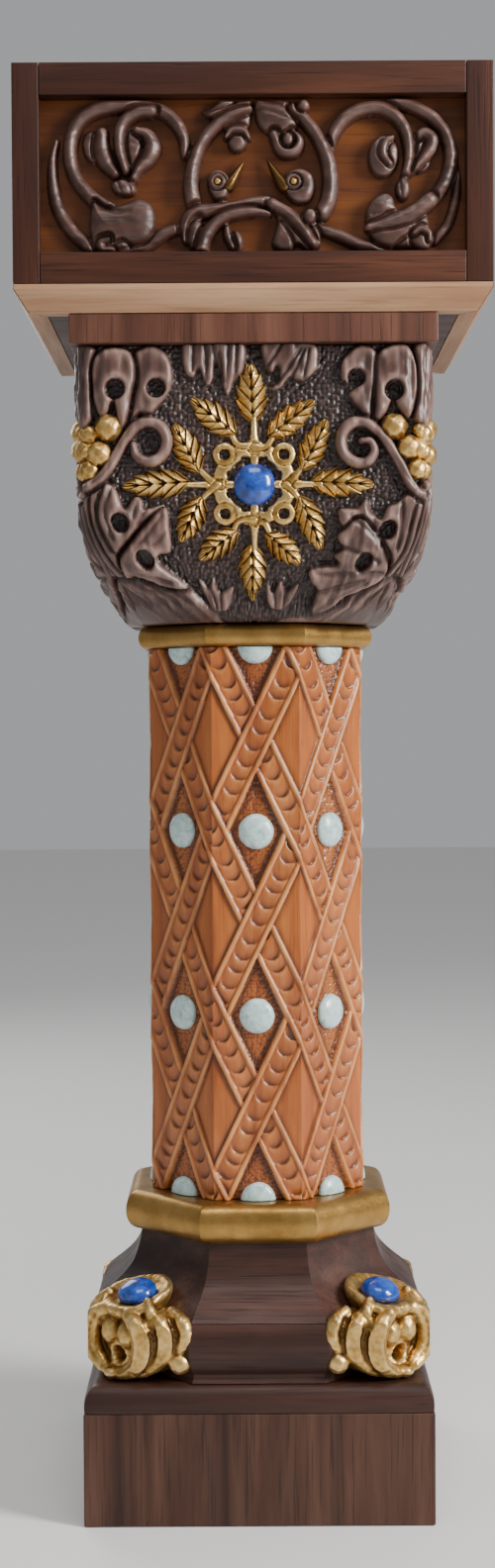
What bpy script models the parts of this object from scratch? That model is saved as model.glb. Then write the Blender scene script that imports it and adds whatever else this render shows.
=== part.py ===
"""Carved octagonal column on a square moulded base, under a cushion capital and a panelled abacus.

Sizes are in millimetres and turned into metres where a mesh is made. +Z is up, the front faces -Y,
and the origin is at the centre of the underside. Every wooden piece, ring and stone is its own object.
"""
import math

import bmesh
import bpy
from mathutils import Matrix, Vector

MM = 0.001
GAP = 0.3                 # clearance between pieces that touch
RING_STEPS = 16           # straight runs round a rosette's ring
SHELL_STEP = 0.03         # offset between the overlapping shells of one carved piece

# heights, from the floor up
PLINTH_TOP = 58.0
PLINTH_CAP_TOP = 72.0
SCOTIA_TOP = 139.0
BASE_RING_TOP = 160.2
NECK_RING_BOTTOM = 451.0
NECK_RING_TOP = 463.0
CAPITAL_TOP = 602.0
CAPITAL_BOARD_TOP = 617.0
ABACUS_BASE_TOP = 630.5
TOTAL_HEIGHT = 740.0

# plan sizes
PLINTH_SIDE = 180.0
SHAFT_FLATS = 114.6
CAPITAL_SIDE = 186.0
ABACUS_WIDTH = 240.0
ABACUS_DEPTH = 200.0
CHAMFER = 7.0             # setback of the abacus's chamfered lower edge

# shaft pattern and stones
PATTERN_PERIOD = 97.0
DIAMOND_HALF_WIDTH = 15.6
DIAMOND_HALF_HEIGHT = 31.0
DIAMOND_DEPTH = 2.4
ROSETTE_STONE_RADIUS = 10.8
ROSETTE_STONE_HEIGHT = 8.6
SPUR_STONE_RADIUS = 10.2
SPUR_STONE_HEIGHT = 7.5

# hidden round tenons that pin the turned and carved parts together
TENON_RADIUS = 15.0
BASE_TENON = (84.0, 214.0)
NECK_TENON = (398.0, 516.0)

# abacus joinery
FRAME_STOCK = 10.0
STILE_WIDTH = 13.5
TOP_RAIL = 16.0
BOTTOM_RAIL = 15.5
PANEL_THICKNESS = 6.0
TOP_BOARD_THICKNESS = 12.0
EDGE_EASE = 0.8

# capital carving
FIELD_DEPTH = 8.0         # ground of the carved field, below the block's outer face
ROSETTE_CENTRE_Z = 531.5
REGULAR = math.tan(math.pi / 8)
BASE_RATIO = 0.405        # half width of a base moulding's front face, over its half depth

WALNUT = ((0.115, 0.050, 0.032, 1.0), 0.45, 0.0)
SAPWOOD = ((0.47, 0.26, 0.14, 1.0), 0.45, 0.0)
CHERRY = ((0.52, 0.20, 0.075, 1.0), 0.42, 0.0)
PANEL_WOOD = ((0.20, 0.065, 0.020, 1.0), 0.40, 0.0)
GILT = ((0.60, 0.38, 0.12, 1.0), 0.33, 1.0)
LAPIS = ((0.012, 0.045, 0.32, 1.0), 0.18, 0.0)


def clear_scene():
    for obj in list(bpy.data.objects):
        bpy.data.objects.remove(obj, do_unlink=True)


def finish_material(name, look):
    """One Principled material per sub-part."""
    colour, roughness, metallic = look
    material = bpy.data.materials.new(name)
    material.use_nodes = True
    shader = material.node_tree.nodes["Principled BSDF"]
    shader.inputs["Base Color"].default_value = colour
    shader.inputs["Roughness"].default_value = roughness
    shader.inputs["Metallic"].default_value = metallic
    return material


def make_object(name, bm, look=None, smooth_angle=None):
    """Turn a bmesh in millimetres into an object in metres. Without a look it is a cutter."""
    bmesh.ops.recalc_face_normals(bm, faces=bm.faces)
    bmesh.ops.scale(bm, vec=(MM, MM, MM), verts=bm.verts)
    mesh = bpy.data.meshes.new(name)
    bm.to_mesh(mesh)
    bm.free()
    obj = bpy.data.objects.new(name, mesh)
    bpy.context.scene.collection.objects.link(obj)
    if look is None:
        obj.hide_render = True
        obj.display_type = "WIRE"
    else:
        mesh.materials.append(finish_material(name, look))
    if smooth_angle is not None:
        mesh.shade_smooth()
        mesh.set_sharp_from_angle(angle=math.radians(smooth_angle))
    return obj


def boolean(obj, cutter, operation="DIFFERENCE"):
    modifier = obj.modifiers.new("boolean", "BOOLEAN")
    modifier.object = cutter
    modifier.operation = operation
    modifier.solver = "EXACT"


def add_loft(bm, sections):
    """Close a solid through rings of equally many points, capped at both ends."""
    rings = [[bm.verts.new(point) for point in section] for section in sections]
    count = len(rings[0])
    for low, high in zip(rings, rings[1:]):
        for i in range(count):
            j = (i + 1) % count
            bm.faces.new((low[i], low[j], high[j], high[i]))
    bm.faces.new(list(reversed(rings[0])))
    bm.faces.new(rings[-1])


def octagon(half, z, ratio=REGULAR):
    """Eight corners of a square of half side `half` whose corners are cut off."""
    short = half * ratio
    corners = [(short, -half), (half, -short), (half, short), (short, half),
               (-short, half), (-half, short), (-half, -short), (-short, -half)]
    return [(x, y, z) for x, y in corners]


def octagon_piece(name, profile, look, ratio=REGULAR, smooth_angle=None):
    """A mitred octagonal moulding from (half width, height) steps, bottom to top."""
    bm = bmesh.new()
    add_loft(bm, [octagon(half, z, ratio) for half, z in profile])
    return make_object(name, bm, look, smooth_angle)


def add_box(bm, low, high):
    verts = bmesh.ops.create_cube(bm, size=1.0)["verts"]
    size = [b - a for a, b in zip(low, high)]
    middle = [(a + b) / 2 for a, b in zip(low, high)]
    bmesh.ops.scale(bm, vec=size, verts=verts)
    bmesh.ops.translate(bm, vec=middle, verts=verts)


def box_piece(name, low, high, look, ease=EDGE_EASE):
    """A board with slightly eased edges."""
    bm = bmesh.new()
    add_box(bm, low, high)
    bmesh.ops.bevel(bm, geom=list(bm.edges), offset=ease, offset_type="OFFSET",
                    segments=1, affect="EDGES")
    return make_object(name, bm, look)


def cylinder_cutter(name, radius, bottom, top):
    bm = bmesh.new()
    add_loft(bm, [circle(radius, z) for z in (bottom, top)])
    return make_object(name, bm)


def circle(radius, z, segments=16):
    step = 2 * math.pi / segments
    return [(radius * math.cos(i * step), radius * math.sin(i * step), z) for i in range(segments)]


def place(bm, start, matrix):
    """Move the vertices added since `start` by a matrix."""
    bm.verts.ensure_lookup_table()
    bmesh.ops.transform(bm, matrix=matrix, verts=bm.verts[start:])


def add_dome(bm, radius, height, matrix, segments=12):
    """A cabochon: flat back, short girdle and a domed front along local +Z."""
    start = len(bm.verts)
    girdle = 0.18 * height
    rings = [circle(radius, 0.0, segments), circle(radius, girdle, segments)]
    for angle in (35, 68):
        turn = math.radians(angle)
        rings.append(circle(radius * math.cos(turn), girdle + (height - girdle) * math.sin(turn), segments))
    add_loft(bm, rings)
    place(bm, start, matrix)


def facing(angle, distance, z, tilt=90.0):
    """Matrix that stands local +Z outwards at a plan angle, `distance` from the axis."""
    out = Matrix.Rotation(math.radians(angle), 4, "Z")
    return out @ Matrix.Translation((0.0, -distance, z)) @ Matrix.Rotation(math.radians(tilt), 4, "X")


def smooth_path(points, steps):
    """Catmull-Rom points through a hand-set route."""
    padded = [2 * Vector(points[0]) - Vector(points[1])] + [Vector(p) for p in points]
    padded.append(2 * padded[-1] - padded[-2])
    route = []
    for a, b, c, d in zip(padded, padded[1:], padded[2:], padded[3:]):
        for i in range(steps):
            t = i / steps
            route.append(0.5 * (2 * b + (c - a) * t + (2 * a - 5 * b + 4 * c - d) * t * t
                                + (3 * b - a - 3 * c + d) * t ** 3))
    route.append(padded[-2])
    return route


def add_vine(bm, points, radius, depth, steps=1):
    """A flat-backed stem along (x, z) points on a panel; local +Y runs into the wall."""
    route = smooth_path([(x, 0.0, z) for x, z in points], steps)
    section = [(-1.0, 0.0), (-0.6, 0.95), (0.6, 0.95), (1.0, 0.0)]
    rings = []
    for i, point in enumerate(route):
        ahead = route[min(i + 1, len(route) - 1)] - route[max(i - 1, 0)]
        side = Vector((-ahead.z, 0.0, ahead.x)).normalized()
        rings.append([point + side * (a * radius) + Vector((0.0, -b * depth, 0.0)) for a, b in section])
    add_loft(bm, rings)


def add_blob(bm, x, z, radius_x, radius_z, depth):
    """A leaf or head as a flat-backed cushion."""
    rings = [[(x + radius_x * s * math.cos(a), -h * depth, z + radius_z * s * math.sin(a))
              for a in (math.tau * i / 8 for i in range(8))]
             for s, h in ((1.0, 0.0), (0.7, 1.0))]
    add_loft(bm, rings)


def union_piece(name, builders, look, matrix):
    """Join overlapping closed shells into one solid. Each builder fills its own bmesh.

    Each shell starts a hair further out than the last, so no two of them share a plane.
    """
    shells = []
    for index, build in enumerate(builders):
        bm = bmesh.new()
        build(bm)
        step = Matrix.Translation((0.0, -SHELL_STEP * index, 0.0))
        bmesh.ops.transform(bm, matrix=matrix @ step, verts=bm.verts)
        shells.append(make_object(name if index == 0 else f"{name}_shell_{index}", bm,
                                  look if index == 0 else None))
    for shell in shells[1:]:
        boolean(shells[0], shell, "UNION")
    return shells[0]


SIDES = (("front", 0), ("right", 90), ("back", 180), ("left", 270))


# ---- base -----------------------------------------------------------------------------------

SCOTIA_PROFILE = [(85.3, 103.0), (82.6, 106.0), (78.6, 109.5), (74.6, 113.0), (71.0, 116.5), (68.2, 120.0),
                  (65.9, 124.5), (64.0, 130.0), (63.0, 135.0), (62.6, 139.0)]
LOWER_TORUS_PROFILE = [(84.5, 72.0), (83.0, 75.0), (83.4, 77.0), (86.5, 80.5), (88.5, 86.0),
                       (89.0, 91.0), (88.1, 97.0), (85.3, 103.0)]


def shrink_ends(profile):
    """Leave half of the joint gap at a moulding's top and bottom."""
    steps = [list(step) for step in profile]
    steps[0][1] += GAP / 2
    steps[-1][1] -= GAP / 2
    return steps


def ring_profile(half, bulge, bottom, top):
    """Half-round torus steps between two heights."""
    middle, radius = (bottom + top) / 2, (top - bottom) / 2
    angles = [math.radians(a) for a in (-90, -50, -15, 15, 50, 90)]
    return [(half - bulge + bulge * math.cos(a), middle + radius * math.sin(a)) for a in angles]


def make_base():
    half = PLINTH_SIDE / 2
    plinth = box_piece("plinth_block", (-half, -half, 0.0), (half, half, PLINTH_TOP - GAP / 2), WALNUT, 0.6)
    bore_base = cylinder_cutter("base_bore", TENON_RADIUS + GAP, BASE_TENON[0] - GAP, BASE_TENON[1] + GAP)

    rounding = [(90.0, PLINTH_TOP), (90.0, 62.0), (89.3, 65.5), (87.6, 68.8), (84.9, 71.0), (82.0, 72.0)]
    bm = bmesh.new()
    add_loft(bm, [[(x * s, y * s, z) for x, y in ((1, -1), (1, 1), (-1, 1), (-1, -1))]
                  for s, z in shrink_ends(rounding)])
    make_object("plinth_cap", bm, WALNUT, 40)

    torus = octagon_piece("base_lower_torus", shrink_ends(LOWER_TORUS_PROFILE), WALNUT, BASE_RATIO, 40)
    scotia = octagon_piece("base_scotia", shrink_ends(SCOTIA_PROFILE), WALNUT, BASE_RATIO, 40)
    ring = octagon_piece("base_ring", ring_profile(71.0, 9.0, SCOTIA_TOP + GAP / 2, BASE_RING_TOP - GAP / 2),
                         GILT, 0.43, 50)
    for piece in (torus, scotia, ring):
        boolean(piece, bore_base)
    return plinth, bore_base


# The dish under each spur's stone: how far out along the diagonal, how high, and its outward tilt.
SPUR_SEAT = Matrix.Translation((0.0, -89.5, 113.0)) @ Matrix.Rotation(math.radians(14), 4, "X")


def make_spurs():
    """Gilt corner spurs, hollowed behind to sit over the mouldings; the front pair hold a stone in a dish."""
    clearance = bmesh.new()
    profile = LOWER_TORUS_PROFILE + SCOTIA_PROFILE[1:]
    lowest = [(88.6, 60.0)] + [(half + GAP, z) for half, z in profile] + [(62.9, 150.0)]
    lowest[1] = (84.8, 72.0)
    add_loft(clearance, [octagon(half, z, BASE_RATIO) for half, z in lowest])
    moulding_cutter = make_object("spur_back_cutter", clearance)
    floor = bmesh.new()
    add_box(floor, (-120.0, -120.0, 40.0), (120.0, 120.0, PLINTH_CAP_TOP + GAP))
    floor_cutter = make_object("spur_floor_cutter", floor)

    for name, angle in (("front_right", 45), ("back_right", 135), ("back_left", 225), ("front_left", 315)):
        turn = Matrix.Rotation(math.radians(angle), 4, "Z")

        def body(bm):
            matrix = Matrix.Translation((0.0, -94.0, 87.5)) @ Matrix.Diagonal((23.0, 18.0, 20.0, 1.0))
            bmesh.ops.create_uvsphere(bm, u_segments=10, v_segments=7, radius=1.0, matrix=matrix)

        def dish(bm):
            start = len(bm.verts)
            add_loft(bm, [circle(14.0, -14.0, 16), circle(18.0, -5.0, 16), circle(18.0, 0.0, 16)])
            place(bm, start, SPUR_SEAT)

        jewelled = name.startswith("front")
        spur = union_piece(f"spur_{name}", [body, dish] if jewelled else [body], GILT, turn)
        boolean(spur, moulding_cutter)
        boolean(spur, floor_cutter)
        if not jewelled:
            continue

        stone = bmesh.new()
        seat = turn @ SPUR_SEAT @ Matrix.Translation((0.0, 0.0, GAP))
        add_dome(stone, SPUR_STONE_RADIUS, SPUR_STONE_HEIGHT, seat)
        make_object(f"spur_stone_{name}", stone, LAPIS, 50)


# ---- shaft ----------------------------------------------------------------------------------

def make_shaft():
    half = SHAFT_FLATS / 2
    bottom, top = BASE_RING_TOP + GAP / 2, NECK_RING_BOTTOM - GAP / 2
    shaft = octagon_piece("shaft", [(half, bottom), (half, top)], CHERRY)

    rows = [BASE_RING_TOP + i * PATTERN_PERIOD for i in range(4)]
    pockets = bmesh.new()
    for face in range(8):
        turn = Matrix.Rotation(math.radians(45 * face), 4, "Z")
        for z in rows:
            start = len(pockets.verts)
            outline = [(0.0, -1.0), (1.0, 0.0), (0.0, 1.0), (-1.0, 0.0)]
            add_loft(pockets, [[(a * DIAMOND_HALF_WIDTH, y, z + b * DIAMOND_HALF_HEIGHT) for a, b in outline]
                               for y in (-half + DIAMOND_DEPTH, -half - 5.0)])
            place(pockets, start, turn)
    boolean(shaft, make_object("pocket_cutter", pockets))

    return shaft


# ---- capital --------------------------------------------------------------------------------

CAPITAL_SHOULDER = 532.0
CAPITAL_FOOT = 56.0


def capital_half(z):
    """Half width of the cushion block: straight sides above, an elliptic curve below."""
    full = CAPITAL_SIDE / 2 - 0.8
    if z >= CAPITAL_SHOULDER:
        return full
    drop = (CAPITAL_SHOULDER - z) / (CAPITAL_SHOULDER - NECK_RING_TOP + 3.0)
    return CAPITAL_FOOT + (full - CAPITAL_FOOT) * math.sqrt(max(0.0, 1.0 - drop * drop))


def make_capital():
    heights = [NECK_RING_TOP + GAP, 466.0, 470.0, 475.0, 482.0, 491.0, 502.0, 516.0, 532.0,
               CAPITAL_TOP - GAP / 2]
    bm = bmesh.new()
    add_loft(bm, [octagon(capital_half(z), z, min(0.93, 0.45 + 0.48 * (z - NECK_RING_TOP) / 50.0))
                  for z in heights])
    block = make_object("capital_block", bm, WALNUT, 40)

    ground = CAPITAL_SIDE / 2 - FIELD_DEPTH
    outline = [(-38.0, 455.0), (38.0, 455.0), (57.0, 500.0), (63.0, 531.0), (60.0, 560.0), (46.0, 610.0),
               (-46.0, 610.0), (-60.0, 560.0), (-63.0, 531.0), (-57.0, 500.0)]
    fields = bmesh.new()
    for _, angle in SIDES:
        start = len(fields.verts)
        add_loft(fields, [[(x, y, z) for x, z in outline] for y in (-ground, -ground - 20.0)])
        place(fields, start, Matrix.Rotation(math.radians(angle), 4, "Z"))
    boolean(block, make_object("field_cutter", fields))

    for side, angle in SIDES:
        make_rosette(f"rosette_{side}", Matrix.Rotation(math.radians(angle), 4, "Z"), ground + GAP)
        stone = bmesh.new()
        add_dome(stone, ROSETTE_STONE_RADIUS, ROSETTE_STONE_HEIGHT, facing(angle, ground + GAP, ROSETTE_CENTRE_Z))
        make_object(f"rosette_stone_{side}", stone, LAPIS, 50)

    half = CAPITAL_SIDE / 2
    box_piece("capital_top_board", (-half, -half, CAPITAL_TOP + GAP / 2), (half, half, CAPITAL_BOARD_TOP - GAP / 2),
              WALNUT, 0.6)
    return block


LEAF_OUTLINE = ((0.15, 0.7), (0.35, 1.0), (0.55, 1.0), (0.75, 0.7), (0.9, 0.35), (1.0, 0.06))


def ground_sink(z):
    """How far the block's curved foot lies behind the flat ground at a height, with room to spare."""
    depth = CAPITAL_SIDE / 2 - FIELD_DEPTH - capital_half(z)
    return max(0.0, depth - 1.0)


def make_rosette(name, turn, back):
    """Twelve leaves on a pierced ring around the stone, as one applied carving."""
    matrix = turn @ Matrix.Translation((0.0, -back, ROSETTE_CENTRE_Z))

    def ring(bm):
        step = math.tau / RING_STEPS
        for i in range(RING_STEPS):
            corners = [bm.verts.new((r * math.cos(i * step), y, r * math.sin(i * step)))
                       for r, y in ((12.6, 0.0), (20.0, 0.0), (20.0, -4.5), (12.6, -4.5))]
            if i == 0:
                first = corners
            else:
                stitch(bm, last, corners)
            last = corners
        stitch(bm, last, first)

    def stitch(bm, one, two):
        for a in range(4):
            b = (a + 1) % 4
            bm.faces.new((one[a], one[b], two[b], two[a]))

    def leaf(angle, root, tip, half_width, thickness):
        c, s = math.cos(math.radians(angle)), math.sin(math.radians(angle))
        stations = [(17.6, 1.6), (root, 1.6)]
        for share, swell in LEAF_OUTLINE:
            stations.append((root + share * (tip - root), swell * half_width))

        def section(r, half):
            corners = []
            for w, lift in ((-half, 0.0), (half, 0.0), (half, thickness), (-half, thickness)):
                z = r * s + w * c
                corners.append((r * c - w * s, ground_sink(ROSETTE_CENTRE_Z + r * s) - lift, z))
            return corners

        def build(bm):
            add_loft(bm, [section(r, half) for r, half in stations])
        return build

    builders = [ring]
    builders += [leaf(angle, 29.0, 59.5, 8.0, 5.2) for angle in (0, 90, 180, 270)]
    builders += [leaf(angle, 25.0, 51.5, 6.2, 5.0) for angle in (36, 54, 126, 144, 216, 234, 306, 324)]
    union_piece(name, builders, GILT, matrix)


# ---- rings, tenons --------------------------------------------------------------------------

def make_neck_and_tenons(shaft, block, bore_base):
    ring = octagon_piece("neck_ring", ring_profile(62.5, 5.0, NECK_RING_BOTTOM + GAP / 2, NECK_RING_TOP - GAP / 2),
                         GILT, REGULAR, 50)
    bore_neck = cylinder_cutter("neck_bore", TENON_RADIUS + GAP, NECK_TENON[0] - GAP, NECK_TENON[1] + GAP)
    boolean(shaft, bore_base)
    for piece in (shaft, ring, block):
        boolean(piece, bore_neck)
    for name, (low, high) in (("base_tenon", BASE_TENON), ("neck_tenon", NECK_TENON)):
        bm = bmesh.new()
        add_loft(bm, [circle(TENON_RADIUS, z) for z in (low, high)])
        make_object(name, bm, SAPWOOD, 40)


# ---- abacus ---------------------------------------------------------------------------------

PANEL_TOP = TOTAL_HEIGHT - TOP_RAIL
PANEL_BOTTOM = ABACUS_BASE_TOP + BOTTOM_RAIL
PANEL_MIDDLE = (PANEL_TOP + PANEL_BOTTOM) / 2

# One scroll, on the left of its panel, as (x, z) from the panel's centre: the vines run from the centre out
OUTER_VINE = [(-34.0, 8.0), (-42.0, 25.5), (-54.0, 34.0), (-66.0, 35.5), (-80.0, 31.0), (-90.5, 22.5),
              (-92.5, 12.0), (-89.5, 0.5), (-80.5, -10.0), (-70.0, -17.0)]
HOOK_VINE = [(-51.5, 31.5), (-62.5, 28.5), (-68.0, 22.0), (-68.5, 14.0), (-65.5, 3.0)]
LOW_VINE = [(-101.5, 13.0), (-100.5, 1.0), (-97.5, -13.0), (-91.0, -26.5), (-84.0, -32.5), (-68.0, -35.0),
            (-54.0, -34.5), (-46.0, -31.0), (-37.0, -25.5), (-28.0, -23.5)]
SCROLL_LEAVES = [(-66.0, -24.0, 15.0, 13.0), (-69.5, 11.0, 9.0, 11.0), (-65.5, -5.0, 6.5, 7.5)]

# The left half of the centre motif: a vine ending in a leaf, a bird's head, and the arch below
CENTRE_VINE = [(-26.0, -22.5), (-30.0, -16.0), (-31.0, -5.0), (-29.5, 6.0), (-26.0, 16.5), (-20.0, 25.0), (-12.0, 30.0)]
ARCH = [(-28.0, -33.0), (-24.0, -24.0), (-16.5, -17.0), (0.0, -13.5), (16.5, -17.0), (24.0, -24.0), (28.0, -33.0)]
ARCH_STALK = [(-14.0, -17.5), (-10.0, -24.0), (-8.0, -33.0)]
CENTRE_LEAVES = [(-10.5, 28.5, 9.0, 8.5), (-17.0, -6.5, 6.5, 8.0), (-8.0, -34.0, 4.5, 4.5)]


def mirrored(points, sign, shift=0.0):
    return [(sign * (x + shift), z) for x, z in points]


def scroll_builders(centre_shift, with_centre):
    """Shells of a panel's carving; side panels have the two scrolls alone, moved together."""
    builders = []

    def vine(points, radius, depth):
        builders.append(lambda bm: add_vine(bm, points, radius, depth))

    def leaf(x, z, radius_x, radius_z):
        builders.append(lambda bm: add_blob(bm, x, z, radius_x, radius_z, 8.2))

    if with_centre:
        vine(ARCH, 3.6, 7.9)
    else:
        leaf(0.4, -23.0, 8.0, 7.0)
    for sign in (1, -1):
        vine(mirrored(OUTER_VINE, sign, centre_shift), 3.3, 7.6)
        vine(mirrored(HOOK_VINE, sign, centre_shift), 3.1, 7.4)
        vine(mirrored(LOW_VINE, sign, centre_shift), 3.0, 6.8)
        for x, z, radius_x, radius_z in SCROLL_LEAVES:
            leaf(sign * (x + centre_shift), z, radius_x, radius_z)
        if with_centre:
            vine(mirrored(CENTRE_VINE, sign), 3.2, 7.2)
            vine(mirrored(ARCH_STALK, sign), 2.6, 6.6)
            for x, z, radius_x, radius_z in CENTRE_LEAVES:
                leaf(sign * x, z, radius_x, radius_z)
    return builders


def make_abacus():
    make_abacus_base()
    for side, angle in SIDES:
        along, across = (ABACUS_WIDTH, ABACUS_DEPTH) if angle % 180 == 0 else (ABACUS_DEPTH, ABACUS_WIDTH)
        face = across / 2
        # front and back frames run the full width; side frames fit between them
        length = along if angle % 180 == 0 else along - 2 * (FRAME_STOCK + GAP)
        make_frame(side, math.radians(angle), face, length / 2)

        turn = Matrix.Rotation(math.radians(angle), 4, "Z")
        panel_front = face - FRAME_STOCK - GAP
        panel_half = length / 2 - (FRAME_STOCK + GAP if angle % 180 == 0 else 1.0)
        if angle % 180:
            panel_half -= PANEL_THICKNESS
        bm = bmesh.new()
        add_box(bm, (-panel_half, -panel_front, ABACUS_BASE_TOP + GAP),
                (panel_half, -panel_front + PANEL_THICKNESS, TOTAL_HEIGHT - TOP_BOARD_THICKNESS - 2 * GAP))
        bmesh.ops.transform(bm, matrix=turn, verts=bm.verts)
        make_object(f"ground_panel_{side}", bm, PANEL_WOOD)

        seat = turn @ Matrix.Translation((0.0, -panel_front - GAP, PANEL_MIDDLE))
        if angle % 180 == 0:
            builders = scroll_builders(0.0, True)
        else:
            builders = scroll_builders(28.8, False)
        union_piece(f"scroll_carving_{side}", builders, WALNUT, seat)

    inner_x = ABACUS_WIDTH / 2 - FRAME_STOCK - GAP
    inner_y = ABACUS_DEPTH / 2 - FRAME_STOCK - GAP
    box_piece("abacus_top_board", (-inner_x, -inner_y, TOTAL_HEIGHT - TOP_BOARD_THICKNESS),
              (inner_x, inner_y, TOTAL_HEIGHT), WALNUT, 0.4)


def make_frame(side, angle, face, half):
    """Two rails between two stiles, flush with the wall's outer face."""
    turn = Matrix.Rotation(angle, 4, "Z")
    opening = half - STILE_WIDTH
    bottom, top = ABACUS_BASE_TOP + GAP / 2, TOTAL_HEIGHT
    boards = {
        f"{side}_stile_left": ((-half, bottom), (-opening - GAP / 2, top)),
        f"{side}_stile_right": ((opening + GAP / 2, bottom), (half, top)),
        f"{side}_rail_top": ((-opening + GAP / 2, PANEL_TOP), (opening - GAP / 2, top)),
        f"{side}_rail_bottom": ((-opening + GAP / 2, bottom), (opening - GAP / 2, PANEL_BOTTOM)),
    }
    for name, ((x0, z0), (x1, z1)) in boards.items():
        bm = bmesh.new()
        add_box(bm, (x0, -face, z0), (x1, -face + FRAME_STOCK, z1))
        bmesh.ops.bevel(bm, geom=list(bm.edges), offset=0.3, offset_type="OFFSET", segments=1, affect="EDGES")
        bmesh.ops.transform(bm, matrix=turn, verts=bm.verts)
        make_object(name, bm, WALNUT)


def make_abacus_base():
    """A walnut board edged with four mitred strips of pale wood, chamfered underneath."""
    low, high = CAPITAL_BOARD_TOP + GAP / 2, ABACUS_BASE_TOP - GAP / 2
    strip = 16.0
    inner_x, inner_y = ABACUS_WIDTH / 2 - strip, ABACUS_DEPTH / 2 - strip
    box_piece("abacus_base_board", (-inner_x + GAP, -inner_y + GAP, low), (inner_x - GAP, inner_y - GAP, high),
              WALNUT, 0.3)
    for side, angle in SIDES:
        half_long, face = (ABACUS_WIDTH / 2, ABACUS_DEPTH / 2) if angle % 180 == 0 else (ABACUS_DEPTH / 2,
                                                                                         ABACUS_WIDTH / 2)
        # cross-section from the inside of the strip, round its chamfered outer edge, and back
        section = [(face - strip, low), (face - CHAMFER, low), (face, high - 2.6), (face, high), (face - strip, high)]
        ends = []
        for sign in (-1, 1):
            ends.append([(sign * (half_long - (face - depth) - GAP), -depth, z) for depth, z in section])
        bm = bmesh.new()
        add_loft(bm, ends)
        bmesh.ops.transform(bm, matrix=Matrix.Rotation(math.radians(angle), 4, "Z"), verts=bm.verts)
        make_object(f"chamfer_strip_{side}", bm, SAPWOOD)


def main():
    clear_scene()
    _, bore_base = make_base()
    make_spurs()
    shaft = make_shaft()
    block = make_capital()
    make_neck_and_tenons(shaft, block, bore_base)
    make_abacus()


main()
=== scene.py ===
"""Looks for the carved octagonal column: carved relief, gilding, stones and wood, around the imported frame.

Lengths inside the script are millimetres; meshes are scaled to metres when they are made.
"""
import math

import bmesh
import bpy
import numpy as np
from mathutils import Matrix, Vector


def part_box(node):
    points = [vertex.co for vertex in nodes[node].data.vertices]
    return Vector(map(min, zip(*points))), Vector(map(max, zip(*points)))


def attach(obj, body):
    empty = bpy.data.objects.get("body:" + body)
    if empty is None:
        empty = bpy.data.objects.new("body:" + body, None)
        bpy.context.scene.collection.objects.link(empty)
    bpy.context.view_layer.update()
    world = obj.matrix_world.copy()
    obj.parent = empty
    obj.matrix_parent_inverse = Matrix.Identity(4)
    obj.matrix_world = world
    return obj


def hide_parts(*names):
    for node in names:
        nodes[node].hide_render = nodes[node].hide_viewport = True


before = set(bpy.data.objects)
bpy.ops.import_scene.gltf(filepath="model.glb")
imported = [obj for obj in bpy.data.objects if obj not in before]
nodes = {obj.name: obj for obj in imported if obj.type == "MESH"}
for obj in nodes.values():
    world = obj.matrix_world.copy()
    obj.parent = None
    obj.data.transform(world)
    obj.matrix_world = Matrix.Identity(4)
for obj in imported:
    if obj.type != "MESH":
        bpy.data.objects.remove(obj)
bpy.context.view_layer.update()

MM = 0.001


def box_mm(node):
    low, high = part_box(node)
    return np.array(low) / MM, np.array(high) / MM


# ---- mesh making ----------------------------------------------------------------------------

def build_object(name, verts, quads, triangles=(), cavity=None, material=None, smooth=True):
    """A mesh object from arrays in millimetres, riding on the one body."""
    verts = np.asarray(verts, np.float32) * MM
    quads = np.asarray(quads, np.int32).reshape(-1, 4)
    triangles = np.asarray(triangles, np.int32).reshape(-1, 3)
    mesh = bpy.data.meshes.new(name)
    mesh.vertices.add(len(verts))
    mesh.vertices.foreach_set("co", verts.ravel())
    loops = np.concatenate([quads.ravel(), triangles.ravel()])
    mesh.loops.add(len(loops))
    mesh.loops.foreach_set("vertex_index", loops)
    starts = np.concatenate([np.arange(len(quads)) * 4, len(quads) * 4 + np.arange(len(triangles)) * 3])
    mesh.polygons.add(len(starts))
    mesh.polygons.foreach_set("loop_start", starts.astype(np.int32))
    mesh.update(calc_edges=True)
    mesh.validate()
    if smooth:
        mesh.shade_smooth()
    if cavity is not None:
        layer = mesh.attributes.new("cavity", "FLOAT", "POINT")
        layer.data.foreach_set("value", np.asarray(cavity, np.float32))
    obj = bpy.data.objects.new(name, mesh)
    bpy.context.scene.collection.objects.link(obj)
    if material is not None:
        mesh.materials.append(material)
    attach(obj, "root")
    return obj


def grid_quads(rows, cols, wrap=False):
    """Quad indices of a grid stored row by row."""
    index = np.arange(rows * cols).reshape(rows, cols)
    if wrap:
        index = np.concatenate([index, index[:, :1]], axis=1)
    return np.stack([index[:-1, :-1], index[:-1, 1:], index[1:, 1:], index[1:, :-1]],
                    axis=-1).reshape(-1, 4)


def closed_tube(grid):
    """Vertices, quads and end-cap triangles of a grid whose rows are closed loops around +Z."""
    rows, cols = grid.shape[:2]
    verts = grid.reshape(-1, 3)
    quads = grid_quads(rows, cols, wrap=True)
    ring = np.arange(cols)
    after = (ring + 1) % cols
    low, high = len(verts), len(verts) + 1
    top = (rows - 1) * cols
    verts = np.vstack([verts, grid[0].mean(0), grid[-1].mean(0)])
    triangles = np.vstack([np.stack([np.full(cols, low), after, ring], 1),
                           np.stack([np.full(cols, high), top + ring, top + after], 1)])
    return verts, quads, triangles


def turned(verts, degrees):
    """Rotate an array of points about the column's axis."""
    c, s = math.cos(math.radians(degrees)), math.sin(math.radians(degrees))
    out = np.array(verts, float)
    out[..., 0], out[..., 1] = c * verts[..., 0] - s * verts[..., 1], s * verts[..., 0] + c * verts[..., 1]
    return out


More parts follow.
